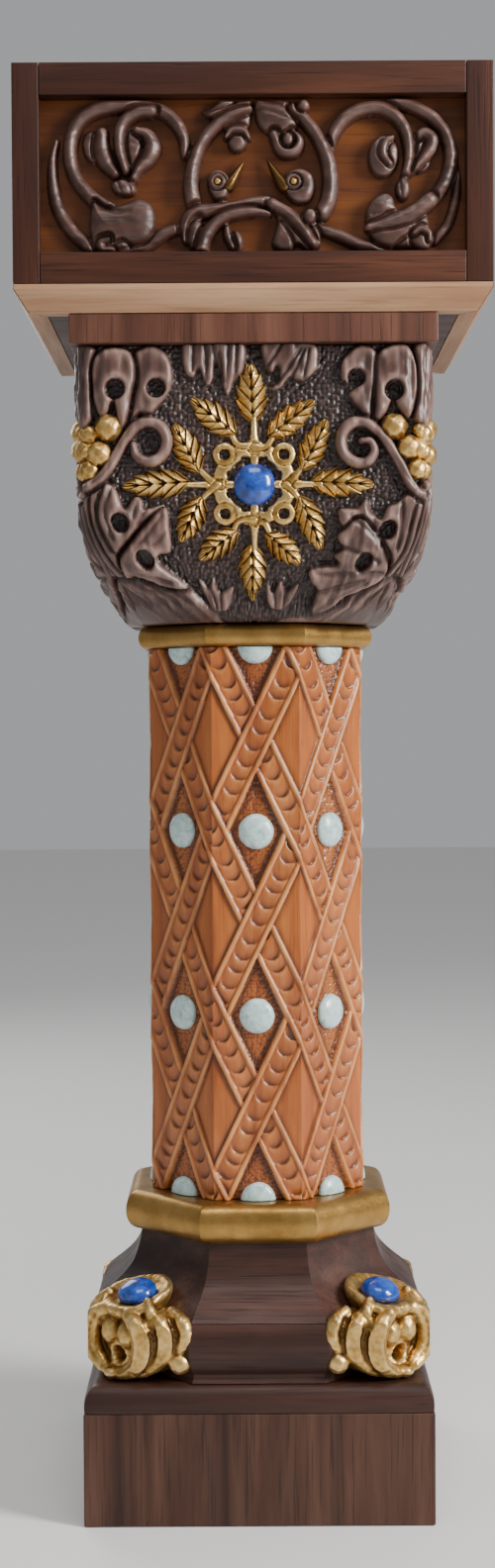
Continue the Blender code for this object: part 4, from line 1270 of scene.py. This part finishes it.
def scroll_left(relief, shift=0.0, squeeze=1.0):
    """The left scroll: a looping vine round a bud, with a heart-shaped leaf below."""
    def at(*points):
        return shifted(points, shift, squeeze)

    relief.stroke(at((-98.2, 17.5), (-100.2, 9), (-100.4, -2), (-98, -14.8), (-91, -26.5), (-82, -34.8)),
                  [1.4, 2.4, 2.9, 3.2, 3.2], 1.6, 3.4)
    relief.stroke(at((-74, -35.6), (-56.3, -34.9), (-43.1, -27.6), (-31, -24.6)), [2.8, 3.3, 3.0, 2.4],
                  1.6, 3.6)
    relief.stroke(at((-33.6, 11), (-34.6, 19.4), (-39.4, 28.0), (-48, 33.4), (-64.5, 35.2), (-79, 33.0),
                     (-88.4, 25.5),
                     (-91.6, 13.7), (-89.4, 1), (-81.5, -9.7), (-71, -17.3)),
                  [2.4, 3.0, 3.2, 3.2, 3.4, 3.4, 3.2, 3.2, 3.4, 3.8], 2.8, 4.6)
    relief.blob(at((-80, 15.2))[0], (5.6, 8.4), 1.6, 3.4, turn=8)
    relief.stroke(at((-75.4, 21.5), (-75.6, 14), (-73.4, 7), (-69, 1.4)), [3.0, 3.9, 3.9, 2.4], 2.4, 4.8)
    relief.blob(at((-60.8, 13.2))[0], (6.4, 11.0), 2.2, 4.4, turn=0)
    relief.stroke(at((-57.8, 22.6), (-53.0, 20.6), (-50.2, 15.2), (-52.2, 9.0), (-57.0, 3.4),
                     (-60.4, -2.4)),
                  [2.0, 3.4, 4.0, 3.4, 2.4, 1.8], 3.0, 4.8)
    relief.stroke(at((-50.5, 32.4), (-57.5, 31.6), (-63.6, 27.6), (-66.6, 21), (-66.4, 12.5), (-63.6, 2.6)),
                  [2.8, 3.0, 3.0, 2.8, 2.5, 2.0], 3.8, 4.6)
    relief.mass(at((-80.0, -12.0), (-74, -15.6), (-66, -13.6), (-57.5, -10.8), (-51.0, -13.4),
                   (-48.6, -20), (-49.4, -27),
                   (-54.0, -33.0), (-61, -35.0), (-67, -36.4), (-73, -38.0), (-79.0, -36.0), (-82.0, -29),
                   (-82.0, -19)),
                2.6, 6.2, 11.0, moat=0.9)
    relief.groove(at((-78.5, -12), (-70, -17.5), (-60, -18.6)), 1.3, 1.7)
    relief.groove(at((-62.0, -34.5), (-65.5, -32.4), (-69.5, -33.6)), 1.0, 2.0, taper=False)
    relief.stroke(at((-72.6, -31.4), (-76.4, -33.0), (-75.4, -36.4), (-70.6, -36.4)), [1.8, 2.2, 2.0, 1.2],
                  3.6, 3.0)
    relief.blob(at((-64.6, -5.6))[0], (6.8, 4.2), 3.2, 4.2, turn=-14)
    relief.groove(at((-68, -2.6), (-65.5, -8.6)), 0.7, 1.0, taper=False)
    relief.groove(at((-62.5, -2.4), (-61, -8.8)), 0.7, 1.0, taper=False)


def scroll_right(relief, shift=0.0, squeeze=1.0):
    """The right scroll, turned the other way."""
    def at(*points):
        return shifted(points, shift, squeeze)

    relief.stroke(at((101.2, 10), (102.4, 0), (102.0, -10), (98.4, -23.1), (91, -32.6)),
                  [1.2, 1.9, 2.2, 2.4, 2.2], 1.4, 2.8)
    relief.stroke(at((31.6, -25.4), (44, -30.0), (56, -35.0), (68, -36.0)), [2.4, 3.0, 3.0, 2.2], 1.6, 3.6)
    relief.stroke(at((61, 34.6), (70, 36.0), (80.3, 34.2), (91.6, 27.2), (98.6, 15.8), (98.8, 3.7),
                     (93.4, -8), (84, -17),
                     (73.5, -22.5)), [2.4, 2.8, 3.0, 3.2, 3.3, 3.2, 3.4, 3.8], 2.8, 4.6)
    relief.blob(at((65.6, 9.4))[0], (8.0, 11.0), 2.4, 5.0, turn=-6)
    relief.stroke(at((70.2, 18.5), (66.0, 15.2), (65.4, 9.6), (68.6, 5.0)), [1.0, 1.7, 1.7, 1.0], 6.4, 1.8)
    relief.blob(at((82.6, 10.8))[0], (7.0, 10.2), 2.4, 4.8, turn=14)
    relief.stroke(at((80.4, 17.6), (85.4, 20.6), (89.6, 18.0), (88.8, 12.4), (84.4, 6.6), (78.4, 0.4)),
                  [1.8, 2.8, 3.2, 2.6, 1.8, 1.4], 4.2, 3.6)
    relief.stroke(at((38.2, 11.4), (39.6, 18.2), (44.4, 26.4), (52.3, 32.0), (63, 33.4), (71.6, 29.2),
                     (77.2, 20.4),
                     (78.4, 9), (76.0, -1.6)), [2.2, 3.0, 3.2, 3.2, 3.2, 3.0, 2.8, 2.4, 2.0], 3.4, 4.6)
    relief.mass(at((56.2, -19.4), (59.4, -12.0), (65.6, -8.6), (70.6, -10.6), (72.6, -16.4), (79.8, -18.6),
                   (86.2, -15.6),
                   (88.6, -24), (89.6, -33), (86.8, -38.2), (78, -36.8), (67.1, -36.6), (60.6, -33.4),
                   (57.0, -27.4)),
                2.4, 5.6, 9.0, moat=0.9)
    relief.stroke(at((88.4, -12.6), (79.5, -19.4), (68.8, -23.4), (57.6, -26.4)), [3.4, 3.6, 3.2, 1.6],
                  4.6, 3.6)
    relief.groove(at((78, -30.2), (73.6, -33.4), (70.2, -37)), 1.1, 2.2, taper=False)
    relief.groove(at((60, -20), (70, -18)), 1.0, 1.2)
    relief.blob(at((84.6, -32.2))[0], (5.8, 5.8), 3.6, 4.4)
    relief.stroke(at((80.4, -29.4), (83.6, -27.2), (87.8, -29.0), (88.4, -33.0)), [1.4, 1.9, 1.9, 1.2],
                  4.6, 3.0)
    relief.blob(at((75.2, -7.0))[0], (3.9, 6.0), 3.4, 4.2)
    relief.groove(at((73.4, -2.4), (74.6, -11.0)), 0.6, 1.0, taper=False)


def scroll_centre(relief):
    """Two birds' heads between a pair of leaves, over an arch."""
    relief.mass([(-25.5, 31.6), (-20.5, 34.6), (-16, 38.4), (-8, 37.8), (-0.6, 37.6), (-0.2, 30.0),
                 (-2.2, 23.0), (-8.0, 20.2),
                 (-13.4, 21.6), (-16.6, 25.6)], 1.8, 5.0, 7.0, moat=0.8)
    relief.groove([(-24, 31.6), (-16.5, 33.4), (-9, 36.4)], 1.0, 1.8, taper=False)
    relief.groove([(-14, 23), (-6, 26.4), (-0.4, 27.6)], 1.0, 1.0)
    relief.blob((-7.4, 17.2), (5.2, 5.8), 3.0, 4.6, turn=-20)
    relief.stroke([(-13.4, 19.0), (-10.4, 22.4), (-4.6, 22.2), (-1.8, 18.4)], [1.2, 2.2, 2.2, 1.2], 3.4,
                  3.2)
    relief.stroke([(-29.4, -15.4), (-31.0, -5), (-29.8, 5.5), (-26.0, 15.4), (-19.9, 23.6), (-11.6, 29.6),
                   (-1.0, 33.0)],
                  [3.6, 3.6, 3.2, 3.0, 3.0, 2.8, 1.6], 3.2, 5.0)
    relief.mass([(1.4, 37.6), (10, 38.2), (19, 36.8), (23.0, 30.4), (22.0, 22), (16.0, 18.6), (8.0, 20.4),
                 (3.0, 24.6),
                 (0.9, 31)], 2.2, 5.6, 9.0, moat=0.8)
    relief.groove([(3, 33), (12, 30), (21, 27)], 0.9, 1.0)
    relief.groove([(5, 37.5), (14, 35.2), (22, 31)], 0.8, 0.9)
    relief.stroke([(10.6, 20.4), (14.4, 12.8), (20.4, 12.0), (23.4, 17.0), (20.0, 21.4)],
                  [2.4, 2.8, 3.0, 2.6, 1.6], 2.8, 4.4)
    relief.blob((17.6, 17.6), (3.4, 3.8), 3.4, 4.2)
    relief.stroke([(20.6, 33.4), (26.6, 27.4), (33.0, 18.6), (37.6, 8), (39.0, -3), (37.8, -12),
                   (34.8, -18.6)],
                  [2.6, 3.0, 3.2, 3.4, 3.6, 3.8, 3.6], 3.2, 5.0)
    relief.blob((25.4, 34.6), (3.6, 3.6), 2.8, 4.4)
    # birds' heads with ringed eyes
    relief.mass([(-23.0, -2), (-20.4, 2.6), (-15.6, 3.2), (-11.6, -0.6), (-11.0, -6.0), (-14.0, -12.8),
                 (-18.0, -13.0),
                 (-21.6, -8.6)], 2.2, 4.8, 4.0, moat=0.6)
    relief.mass([(16.4, -9.6), (15.0, -3.0), (18.2, 2.4), (24.6, 3.8), (30.0, 0.4), (31.4, -6.4),
                 (28.4, -13.0), (21.4, -14.0)],
                2.2, 5.2, 4.4, moat=0.6)
    for x, y in ((-17.6, -3.4), (20.4, -3.6)):
        relief.stroke([(x + 2.9 * math.cos(a), y + 2.9 * math.sin(a)) for a in np.linspace(0, 2 * np.pi, 13)],
                      [0.95, 0.95], 6.4, 1.2, moat=0.5, steps=3)
    # arch and lower leaves
    relief.stroke([(-33.0, -31.5), (-33.4, -24.4), (-29.4, -18.6), (-20.4, -16.6), (-10, -15.2),
                   (-0.3, -13.2),
                   (8, -13.2), (14.6, -17.6)], [2.4, 3.6, 3.8, 3.0, 2.8, 3.0, 3.0, 2.4], 2.2, 4.2)
    relief.blob((-28.8, -29.0), (4.2, 8.4), 2.0, 4.2, turn=-10)
    relief.blob((-8.8, -32.4), (4.2, 5.8), 2.6, 4.6, turn=12)
    relief.stroke([(-13.4, -24.8), (-12.6, -30.0), (-10.4, -35.4)], [1.6, 2.2, 1.6], 2.2, 3.6)
    relief.stroke([(-25.6, -36.8), (-23.6, -29.6), (-18.6, -23.4), (-11.4, -19.6), (-1.2, -18.0),
                   (8, -19.0)],
                  [3.0, 3.2, 2.8, 2.6, 2.4, 1.4], 3.6, 4.6)
    relief.mass([(9.2, -15.0), (15.8, -14.4), (22.6, -17.2), (29.6, -22.4), (34.0, -29.6), (33.4, -36.0),
                 (27.6, -37.6),
                 (22.2, -34.8), (19.0, -37.6), (12.6, -37.8), (9.2, -33.6), (11.0, -27), (12.0, -22)], 2.2,
                 4.4, 3.6, moat=0.8)
    relief.stroke([(9.8, -14.6), (17.0, -18.6), (24.0, -25.6), (30.0, -34.0)], [2.8, 2.8, 2.8, 2.2], 4.2,
                  4.2)
    relief.groove([(14.0, -22.4), (18.6, -29.4), (20.8, -35.6)], 0.9, 2.2, taper=False)
    relief.blob((28.6, -20.4), (3.8, 4.2), 3.4, 4.4)


PUPIL_RADIUS = 1.7
PUPIL_HEIGHT = 6.6         # of its centre, above the panel's ground
PUPIL_CENTRES = (("a", -17.6, -3.4), ("b", 20.4, -3.6))


def pupil(name, centre, radius, out_height, side_offset, turn, seed):
    """A bird's gilt pupil: a small hammered dome on the carved eye."""
    x, y = centre
    verts, quads, triangles, shade = hammered_ball((x, -(side_offset + out_height), PANEL_CENTRE_Z + y),
                                                   radius, seed)
    build_object(name, turned(verts, turn), quads, triangles, cavity=shade, material=gilt)


def beak(name, root, tip, half_width, side_offset, turn):
    """A gilt beak: four flat facets from a blunt root to a point, ridge along the middle."""
    root, tip = np.array(root, float), np.array(tip, float)
    direction = (tip - root) / np.linalg.norm(tip - root)
    side = np.array([-direction[1], direction[0]])
    sections = []
    for s in np.linspace(0, 1, 9):
        w = half_width * (1 - s) ** 0.75 * (0.72 + 0.28 * min(s * 5, 1)) + 0.12
        top = 3.6 + 4.2 * (1 - s) ** 0.8 * (0.8 + 0.2 * min(s * 5, 1))
        centre = root + direction * s * np.linalg.norm(tip - root)
        ring = []
        for across, height in ((-1, 2.4), (-0.94, 0.62 * top), (-0.4, 0.93 * top), (0, top),
                               (0.4, 0.93 * top),
                               (0.94, 0.62 * top), (1, 2.4)):
            p = centre + side * across * w
            ring.append((p[0], -(side_offset + max(height, 2.4)), PANEL_CENTRE_Z + p[1]))
        sections.append(ring)
    verts, quads, triangles = closed_tube(np.array(sections))
    obj = build_object(name, turned(verts, turn), quads, triangles, material=gilt,
                       smooth=False)
    return obj


def make_scrolls():
    step = 0.5
    for k, side in enumerate(("front", "right", "back", "left")):
        offset = GROUND_OFFSET[side]
        long_side = side in ("front", "back")
        reach = 105.8 if long_side else 75.6
        count = int(2 * reach / step)
        relief = Relief(np.linspace(-reach, reach, count + 1),
                        np.linspace(PANEL_BOTTOM, PANEL_TOP, int((PANEL_TOP - PANEL_BOTTOM) / step) + 1))
        relief.weight = 1.22
        relief.power = 1.45
        if long_side:
            scroll_left(relief)
            scroll_right(relief)
            scroll_centre(relief)
        else:
            scroll_left(relief, 29.4, 0.97)
            scroll_right(relief, -29.4, 0.97)
        strokes = lattice_noise(90 + k, relief.U / 6.0 + 60, relief.V / 2.0 + 30) - 0.5
        strokes = strokes + 0.8 * (cell_noise(95 + k, relief.U / 6.5 + 40, relief.V / 5.0 + 40) - 0.5)
        relief.H = np.where(relief.S < 0, np.clip(relief.H + 0.5 * strokes, 0.4, 9.7), 0)
        edge = 1.2
        for axis, low, high in ((relief.U, -reach, reach), (relief.V, PANEL_BOTTOM, PANEL_TOP)):
            relief.S = np.maximum(relief.S, np.maximum(low + 0.6 - axis, axis - high + 0.6))
        relief.H = relief.H * smoothstep(0.0, -edge, relief.S) ** 0.35

        def place(u, v, h, angle=90 * k, offset=offset):
            return turned(np.stack([u, -(offset + h), PANEL_CENTRE_Z + v], -1), angle)

        # painted shade in the hollows and a painted highlight on the ridges of the scrolls
        shade = cavity_of(relief.H, 5, gain=0.11)
        obj = relief_plate(relief, float(relief.u[1] - relief.u[0]), place, f"carved_scroll_{side}",
                           walnut_scroll,
                           cavity=shade)
        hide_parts(f"scroll_carving_{side}")
        if long_side:
            for label, x, y in PUPIL_CENTRES:
                pupil(f"bird_pupil_{label}_{side}", (x, y), PUPIL_RADIUS, PUPIL_HEIGHT, offset, 90 * k, 7)
            beak(f"bird_beak_a_{side}", (-13.4, -7.0), (-4.2, 7.6), 3.9, offset, 90 * k)
            beak(f"bird_beak_b_{side}", (17.0, -7.4), (7.0, 8.4), 4.0, offset, 90 * k)


make_scrolls()


# ---- gilt spurs on the corners of the base ----------------------------------------------------

def swept(path, radii, count=14, steps=5, flatten=1.0, squash_axis=(0, 1, 0)):
    """A round-ended swept body along a path, flattened along one direction."""
    path = curve(path, steps)
    rows = len(path)
    r = np.interp(np.linspace(0, 1, rows), np.linspace(0, 1, len(radii)), radii)
    tangent = np.gradient(path, axis=0)
    tangent /= np.linalg.norm(tangent, axis=1, keepdims=True)
    axis = np.array(squash_axis, float)
    first = np.cross(tangent, axis)
    first /= np.maximum(np.linalg.norm(first, axis=1, keepdims=True), 1e-6)
    second = np.cross(first, tangent)
    turn = np.linspace(0, 2 * np.pi, count, endpoint=False)
    rings = [path[:, None] + r[:, None, None] * (np.cos(turn)[None, :, None] * first[:, None]
                                                  + flatten * np.sin(turn)[None, :,
                                                                           None] * second[:, None])]
    ends = []
    for row, sign in ((0, -1), (rows - 1, 1)):
        centre = path[row] + sign * tangent[row] * r[row] * 0.45
        small = r[row] * 0.72
        ends.append(centre + small * (np.cos(turn)[:, None] * first[row]
                                      + flatten * np.sin(turn)[:, None] * second[row]))
    grid = np.concatenate([ends[0][None], rings[0], ends[1][None]])
    verts, quads, triangles = closed_tube(grid)
    return verts, quads, triangles, np.full(len(verts), 0.5)


def ellipsoid(centre, radii, tilt=0.0):
    """A closed ellipsoid, tilted about the first axis."""
    polar = np.linspace(0.05, np.pi - 0.05, 15)[:, None]
    turn = np.linspace(0, 2 * np.pi, 24, endpoint=False)[None, :]
    x = radii[0] * np.sin(polar) * np.cos(turn)
    y = radii[1] * np.sin(polar) * np.sin(turn)
    z = -radii[2] * np.cos(polar) + 0 * turn
    c, s = math.cos(math.radians(tilt)), math.sin(math.radians(tilt))
    points = np.stack([x, c * y + s * z, -s * y + c * z], -1) + np.array(centre)
    verts, quads, triangles = closed_tube(points)
    return verts, quads, triangles, np.full(len(verts), 0.5)


DISH_TILT = 14.0
DISH_CENTRE = np.array([0.0, 89.5, 113.0])


def dish_frame(x, y, z):
    """From the tilted dish's own axes to tangent, radial and height."""
    c, s = math.cos(math.radians(DISH_TILT)), math.sin(math.radians(DISH_TILT))
    return np.stack([x, c * y + s * z, -s * y + c * z], -1) + DISH_CENTRE


def dish_shell():
    """The shallow cup under the stone, its lip waved and drooping outward."""
    turn = np.linspace(0, 2 * np.pi, 72, endpoint=False)
    droop = np.clip(np.sin(turn), 0, 1)
    waved = 1 + 0.045 * np.sin(3 * turn + 0.6) + 0.03 * np.sin(5 * turn + 2.0)
    rows = []
    for radius, height in ((2.0, -12.0), (8.0, -11.4), (12.5, -9.0), (16.0, -5.6), (18.0, -2.4),
                           (18.8, 0.2), (18.2, 2.0),
                           (16.6, 2.6), (14.6, 1.9), (12.6, 0.6), (10.0, -0.6), (2.0, -0.6)):
        weight = (radius / 18.2) ** 2
        r = radius * (1 + (waved - 1) * weight)
        rows.append(dish_frame(r * np.cos(turn), r * np.sin(turn) * (1 + 0.03 * weight),
                               height - 2.2 * droop * weight))
    grid = np.array(rows)
    verts, quads, triangles = closed_tube(grid)
    return verts, quads, triangles, np.full(len(verts), 0.5)


def spur_shells(jewelled):
    """Leaf blades, berries and a ball at each side, gathered to a point under the dish."""
    shells = [ellipsoid((0, 87.0, 88.5), (27.5, 16.5, 17.0)), ellipsoid((0, 92.0, 80.0), (17.0, 12.0, 8.0))]
    if jewelled:
        shells.append(dish_shell())
        shells.append(ellipsoid((0, 86.0, 96.0), (24.0, 15.0, 14.0)))
    for side in (-1, 1):
        inner = [(8.0, 103.5, 107), (15.5, 104.5, 102), (19.6, 104.6, 93), (17.4, 104.6, 84),
                 (10.0, 105.0, 77.6),
                 (1.0, 106.5, 75.0)]
        middle = [(16.0, 96.0, 108), (23.4, 95.6, 102), (26.0, 94.8, 94), (23.4, 95.6, 86),
                  (16.4, 98.6, 79.4),
                  (9.0, 102.0, 76.0)]
        outer = [(23.0, 87.6, 108), (30.4, 86.8, 102.5), (32.4, 86.4, 95.6), (29.6, 88.0, 88.6)]
        strap = [(14.5, 95.5, 113.5), (19.6, 98.0, 107.5), (21.0, 100.0, 99.5)]
        for path, radii in ((inner, [3.8, 5.2, 5.7, 5.2, 4.0, 2.8]),
                            (middle, [3.8, 5.7, 6.3, 5.7, 4.5, 3.0]),
                            (outer, [3.0, 5.2, 5.6, 3.8]), (strap, [2.2, 3.4, 3.4])):
            shells.append(swept([(side * x, y, z) for x, y, z in path], radii))
        shells.append(ellipsoid((side * 30.4, 87.8, 82.6), (6.0, 6.0, 6.0)))
        shells.append(ellipsoid((side * 6.2, 101.6, 95.6), (6.0, 5.8, 7.6)))
    shells.append(ellipsoid((0.0, 107.0, 75.4), (4.4, 4.4, 3.2)))
    return shells


def spur_grooves():
    """Gouge cuts down the blades: path, width and depth."""
    grooves = []
    for side in (-1, 1):
        for path, width, depth in (([(12.5, 109.5, 103), (16.6, 110.0, 94), (14.6, 110.0, 85),
                                     (8.0, 110.0, 79)], 1.2, 1.5),
                                   ([(21.0, 100.0, 105), (25.4, 100.6, 96), (23.0, 101.0, 87),
                                     (15.6, 103.6, 80)], 1.3, 1.9),
                                   ([(28.0, 91.4, 105), (32.0, 91.6, 98), (29.8, 92.6, 91)], 1.1, 1.5)):
            grooves.append(([(side * x, y, z) for x, y, z in path], width, depth))
    return grooves


def remeshed(shells, voxel):
    """One skin round overlapping shells."""
    verts, quads, triangles, _ = join_shells(shells)
    mesh = bpy.data.meshes.new("union")
    mesh.from_pydata(verts.tolist(), [], quads.tolist() + triangles.tolist())
    obj = bpy.data.objects.new("union", mesh)
    bpy.context.scene.collection.objects.link(obj)
    modifier = obj.modifiers.new("skin", "REMESH")
    modifier.mode = "VOXEL"
    modifier.voxel_size = voxel
    smooth = obj.modifiers.new("smooth", "SMOOTH")
    smooth.factor = 0.5
    smooth.iterations = 3
    depsgraph = bpy.context.evaluated_depsgraph_get()
    result = bpy.data.meshes.new_from_object(obj.evaluated_get(depsgraph))
    bpy.data.objects.remove(obj)
    bpy.data.meshes.remove(mesh)
    points = np.empty(len(result.vertices) * 3)
    result.vertices.foreach_get("co", points)
    faces = [tuple(p.vertices) for p in result.polygons]
    edges = np.empty(len(result.edges) * 2, int)
    result.edges.foreach_get("vertices", edges)
    bpy.data.meshes.remove(result)
    return points.reshape(-1, 3), faces, edges.reshape(-1, 2)


def vertex_normals(points, quads):
    a, b, c, d = (points[quads[:, i]] for i in range(4))
    face = np.cross(c - a, d - b)
    out = np.zeros_like(points)
    for i in range(4):
        np.add.at(out, quads[:, i], face)
    return out / np.maximum(np.linalg.norm(out, axis=1, keepdims=True), 1e-9)


def neighbour_mean(values, edges, rounds):
    degree = np.bincount(edges.ravel(), minlength=len(values)).astype(float)
    for _ in range(rounds):
        total = np.zeros_like(values)
        np.add.at(total, edges[:, 0], values[edges[:, 1]])
        np.add.at(total, edges[:, 1], values[edges[:, 0]])
        values = total / degree.reshape((-1,) + (1,) * (values.ndim - 1))
    return values


def make_spurs():
    for jewelled, corners in ((True, (0, 3)), (False, (1, 2))):
        make_spur_pair(jewelled, corners)


SPUR_VOXEL = 0.75


def make_spur_pair(jewelled, corners):
    voxel = SPUR_VOXEL
    points, faces, edges = remeshed(spur_shells(jewelled), voxel)
    quads = np.array([f for f in faces if len(f) == 4])
    normals = vertex_normals(points, quads)
    if (normals * (points - points.mean(0))).sum() < 0:
        quads, normals = quads[:, ::-1], -normals
    shape = points.copy()
    for path, width, depth in spur_grooves():
        line = curve(path, 6)
        gap = np.full(len(points), 1e9)
        for start, end in zip(line[:-1], line[1:]):
            span = end - start
            t = np.clip(((points - start) @ span) / (span @ span), 0, 1)
            gap = np.minimum(gap, np.linalg.norm(points - start - t[:, None] * span, axis=1))
        shape -= normals * (depth * np.exp(-(gap / (width + 1.0)) ** 2) * (gap < 6))[:, None]
    mouth = np.hypot(points[:, 0] / 4.6, (points[:, 2] - 84.2) / 4.2)
    shape[:, 1] -= np.where(points[:, 1] > 90, 9.0 * smoothstep(1.15, 0.7, mouth), 0)
    hammered = 0.8 * (cell_noise(131, points[:, 0] / 3.0 + 60, (points[:, 2] + 0.6 * points[:, 1]) / 3.0)
                      - 0.5)
    hammered += 0.7 * (lattice_noise(132, *(points.T / 2.6 + 90)) - 0.5)
    shape += normals * (0.5 * hammered)[:, None]
    # painted shade in the recesses and a painted highlight on the ridges, from how hollow each point is
    hollow = ((neighbour_mean(shape, edges, 3) - shape) * normals).sum(1)
    wide = ((neighbour_mean(shape, edges, 14) - shape) * normals).sum(1)
    tone = np.clip(0.43 - 0.9 * hollow - 0.42 * wide, 0, 1)
    tone = neighbour_mean(tone, edges, 1)
    # nothing sinks below the plinth or stands out past its faces
    shape[:, 2] = np.maximum(shape[:, 2], 72.25)
    if not jewelled:
        shape[:, 2] = np.minimum(shape[:, 2], 88.0 + 0.5 * (shape[:, 2] - 88.0))
    limit = 89.4 * math.sqrt(2)
    over = np.maximum(np.abs(shape[:, 0]) + shape[:, 1] - limit, 0)
    shape[:, 1] -= over / 2
    shape[:, 0] -= np.sign(shape[:, 0]) * over / 2
    for k, corner in enumerate(("front_right", "back_right", "back_left", "front_left")):
        if k not in corners:
            continue
        local = shape * (np.array([-1.0, 1, 1]) if k % 2 else 1.0)
        faces_here = quads[:, ::-1] if k % 2 else quads
        # local tangent runs along +X and radial along -Y before the turn to the corner
        world = np.stack([local[:, 0], -local[:, 1], local[:, 2]], -1)
        obj = build_object(f"gilt_spur_{corner}", turned(world, 45 + 90 * k), faces_here[:, ::-1],
                           cavity=tone, material=gilt)
        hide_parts(f"spur_{corner}")
        if not jewelled:
            continue
        c, s = math.cos(math.radians(DISH_TILT)), math.sin(math.radians(DISH_TILT))
        centre = dish_frame(0.0, 0.0, -0.4)
        out = turned(np.array([0.0, -s, c]), 45 + 90 * k)
        centre = turned(np.array([centre[0], -centre[1], centre[2]]), 45 + 90 * k)
        stone(f"spur_lapis_{corner}", centre, out, 10.4, 7.9, lapis_stone,
              node=f"spur_stone_{corner}",
              uneven=0.25, seed=140 + k)


make_spurs()


# ---- camera, light and floor ----------------------------------------------------------------

def make_camera():
    """Slightly above the column's middle, a little over a metre away, turned by fractions of a degree."""
    focal_in_heights = 2100.0 / 1584.0
    yaw, pitch, roll = 0.0009, -0.026, -0.0055
    right = Vector((math.cos(yaw), math.sin(yaw), 0.0))
    ahead = Vector((-math.sin(yaw) * math.cos(pitch), math.cos(yaw) * math.cos(pitch), math.sin(pitch)))
    up = Vector((math.sin(yaw) * math.sin(pitch), -math.cos(yaw) * math.sin(pitch), math.cos(pitch)))
    right, up = (math.cos(roll) * right + math.sin(roll) * up,
                 -math.sin(roll) * right + math.cos(roll) * up)
    camera = bpy.data.cameras.new("camera")
    camera.sensor_width = 36.0
    camera.lens = 36.0 * focal_in_heights
    obj = bpy.data.objects.new("camera", camera)
    bpy.context.scene.collection.objects.link(obj)
    turn = Matrix((right, up, -ahead)).transposed().to_4x4()
    obj.matrix_world = Matrix.Translation((-0.00335, -1.14294, 0.40736)) @ turn
    bpy.context.scene.camera = obj


def area_light(name, position, target, size, power, colour):
    light = bpy.data.lights.new(name, "AREA")
    light.shape = "RECTANGLE"
    light.size, light.size_y = size
    light.energy = power
    light.color = colour
    obj = bpy.data.objects.new(name, light)
    bpy.context.scene.collection.objects.link(obj)
    obj.location = position
    obj.rotation_euler = (Vector(target) - Vector(position)).to_track_quat("-Z", "Y").to_euler()


def make_stage():
    shade = Shade("floor")
    shade.finish((0.80, 0.79, 0.775, 1.0), 0.65)
    bm = bmesh.new()
    bmesh.ops.create_grid(bm, x_segments=1, y_segments=1, size=6.0)
    mesh = bpy.data.meshes.new("floor")
    bm.to_mesh(mesh)
    bm.free()
    mesh.materials.append(shade.material)
    floor = bpy.data.objects.new("floor", mesh)
    floor.location = (0, 0, -0.0002)
    bpy.context.scene.collection.objects.link(floor)
    area_light("key", (1.30, -0.75, 1.0), (0, 0, 0.42), (0.40, 0.8), 44.0, (1.0, 0.985, 0.97))
    area_light("fill", (-1.5, -1.2, 0.6), (0, 0, 0.4), (1.2, 1.2), 1.6, (0.95, 0.975, 1.0))
    area_light("top", (0.05, -0.7, 1.9), (0, 0, 0.5), (0.9, 0.7), 9.0, (1.0, 1.0, 1.0))
    area_light("back", (-0.8, 1.3, 1.1), (0, 0, 0.45), (0.9, 0.9), 9.0, (1.0, 0.99, 0.98))
    world = bpy.data.worlds.new("studio")
    bpy.context.scene.world = world
    world.use_nodes = True
    background = world.node_tree.nodes["Background"]
    background.inputs["Color"].default_value = (0.90, 0.91, 0.93, 1.0)
    background.inputs["Strength"].default_value = 0.42


make_camera()
make_stage()
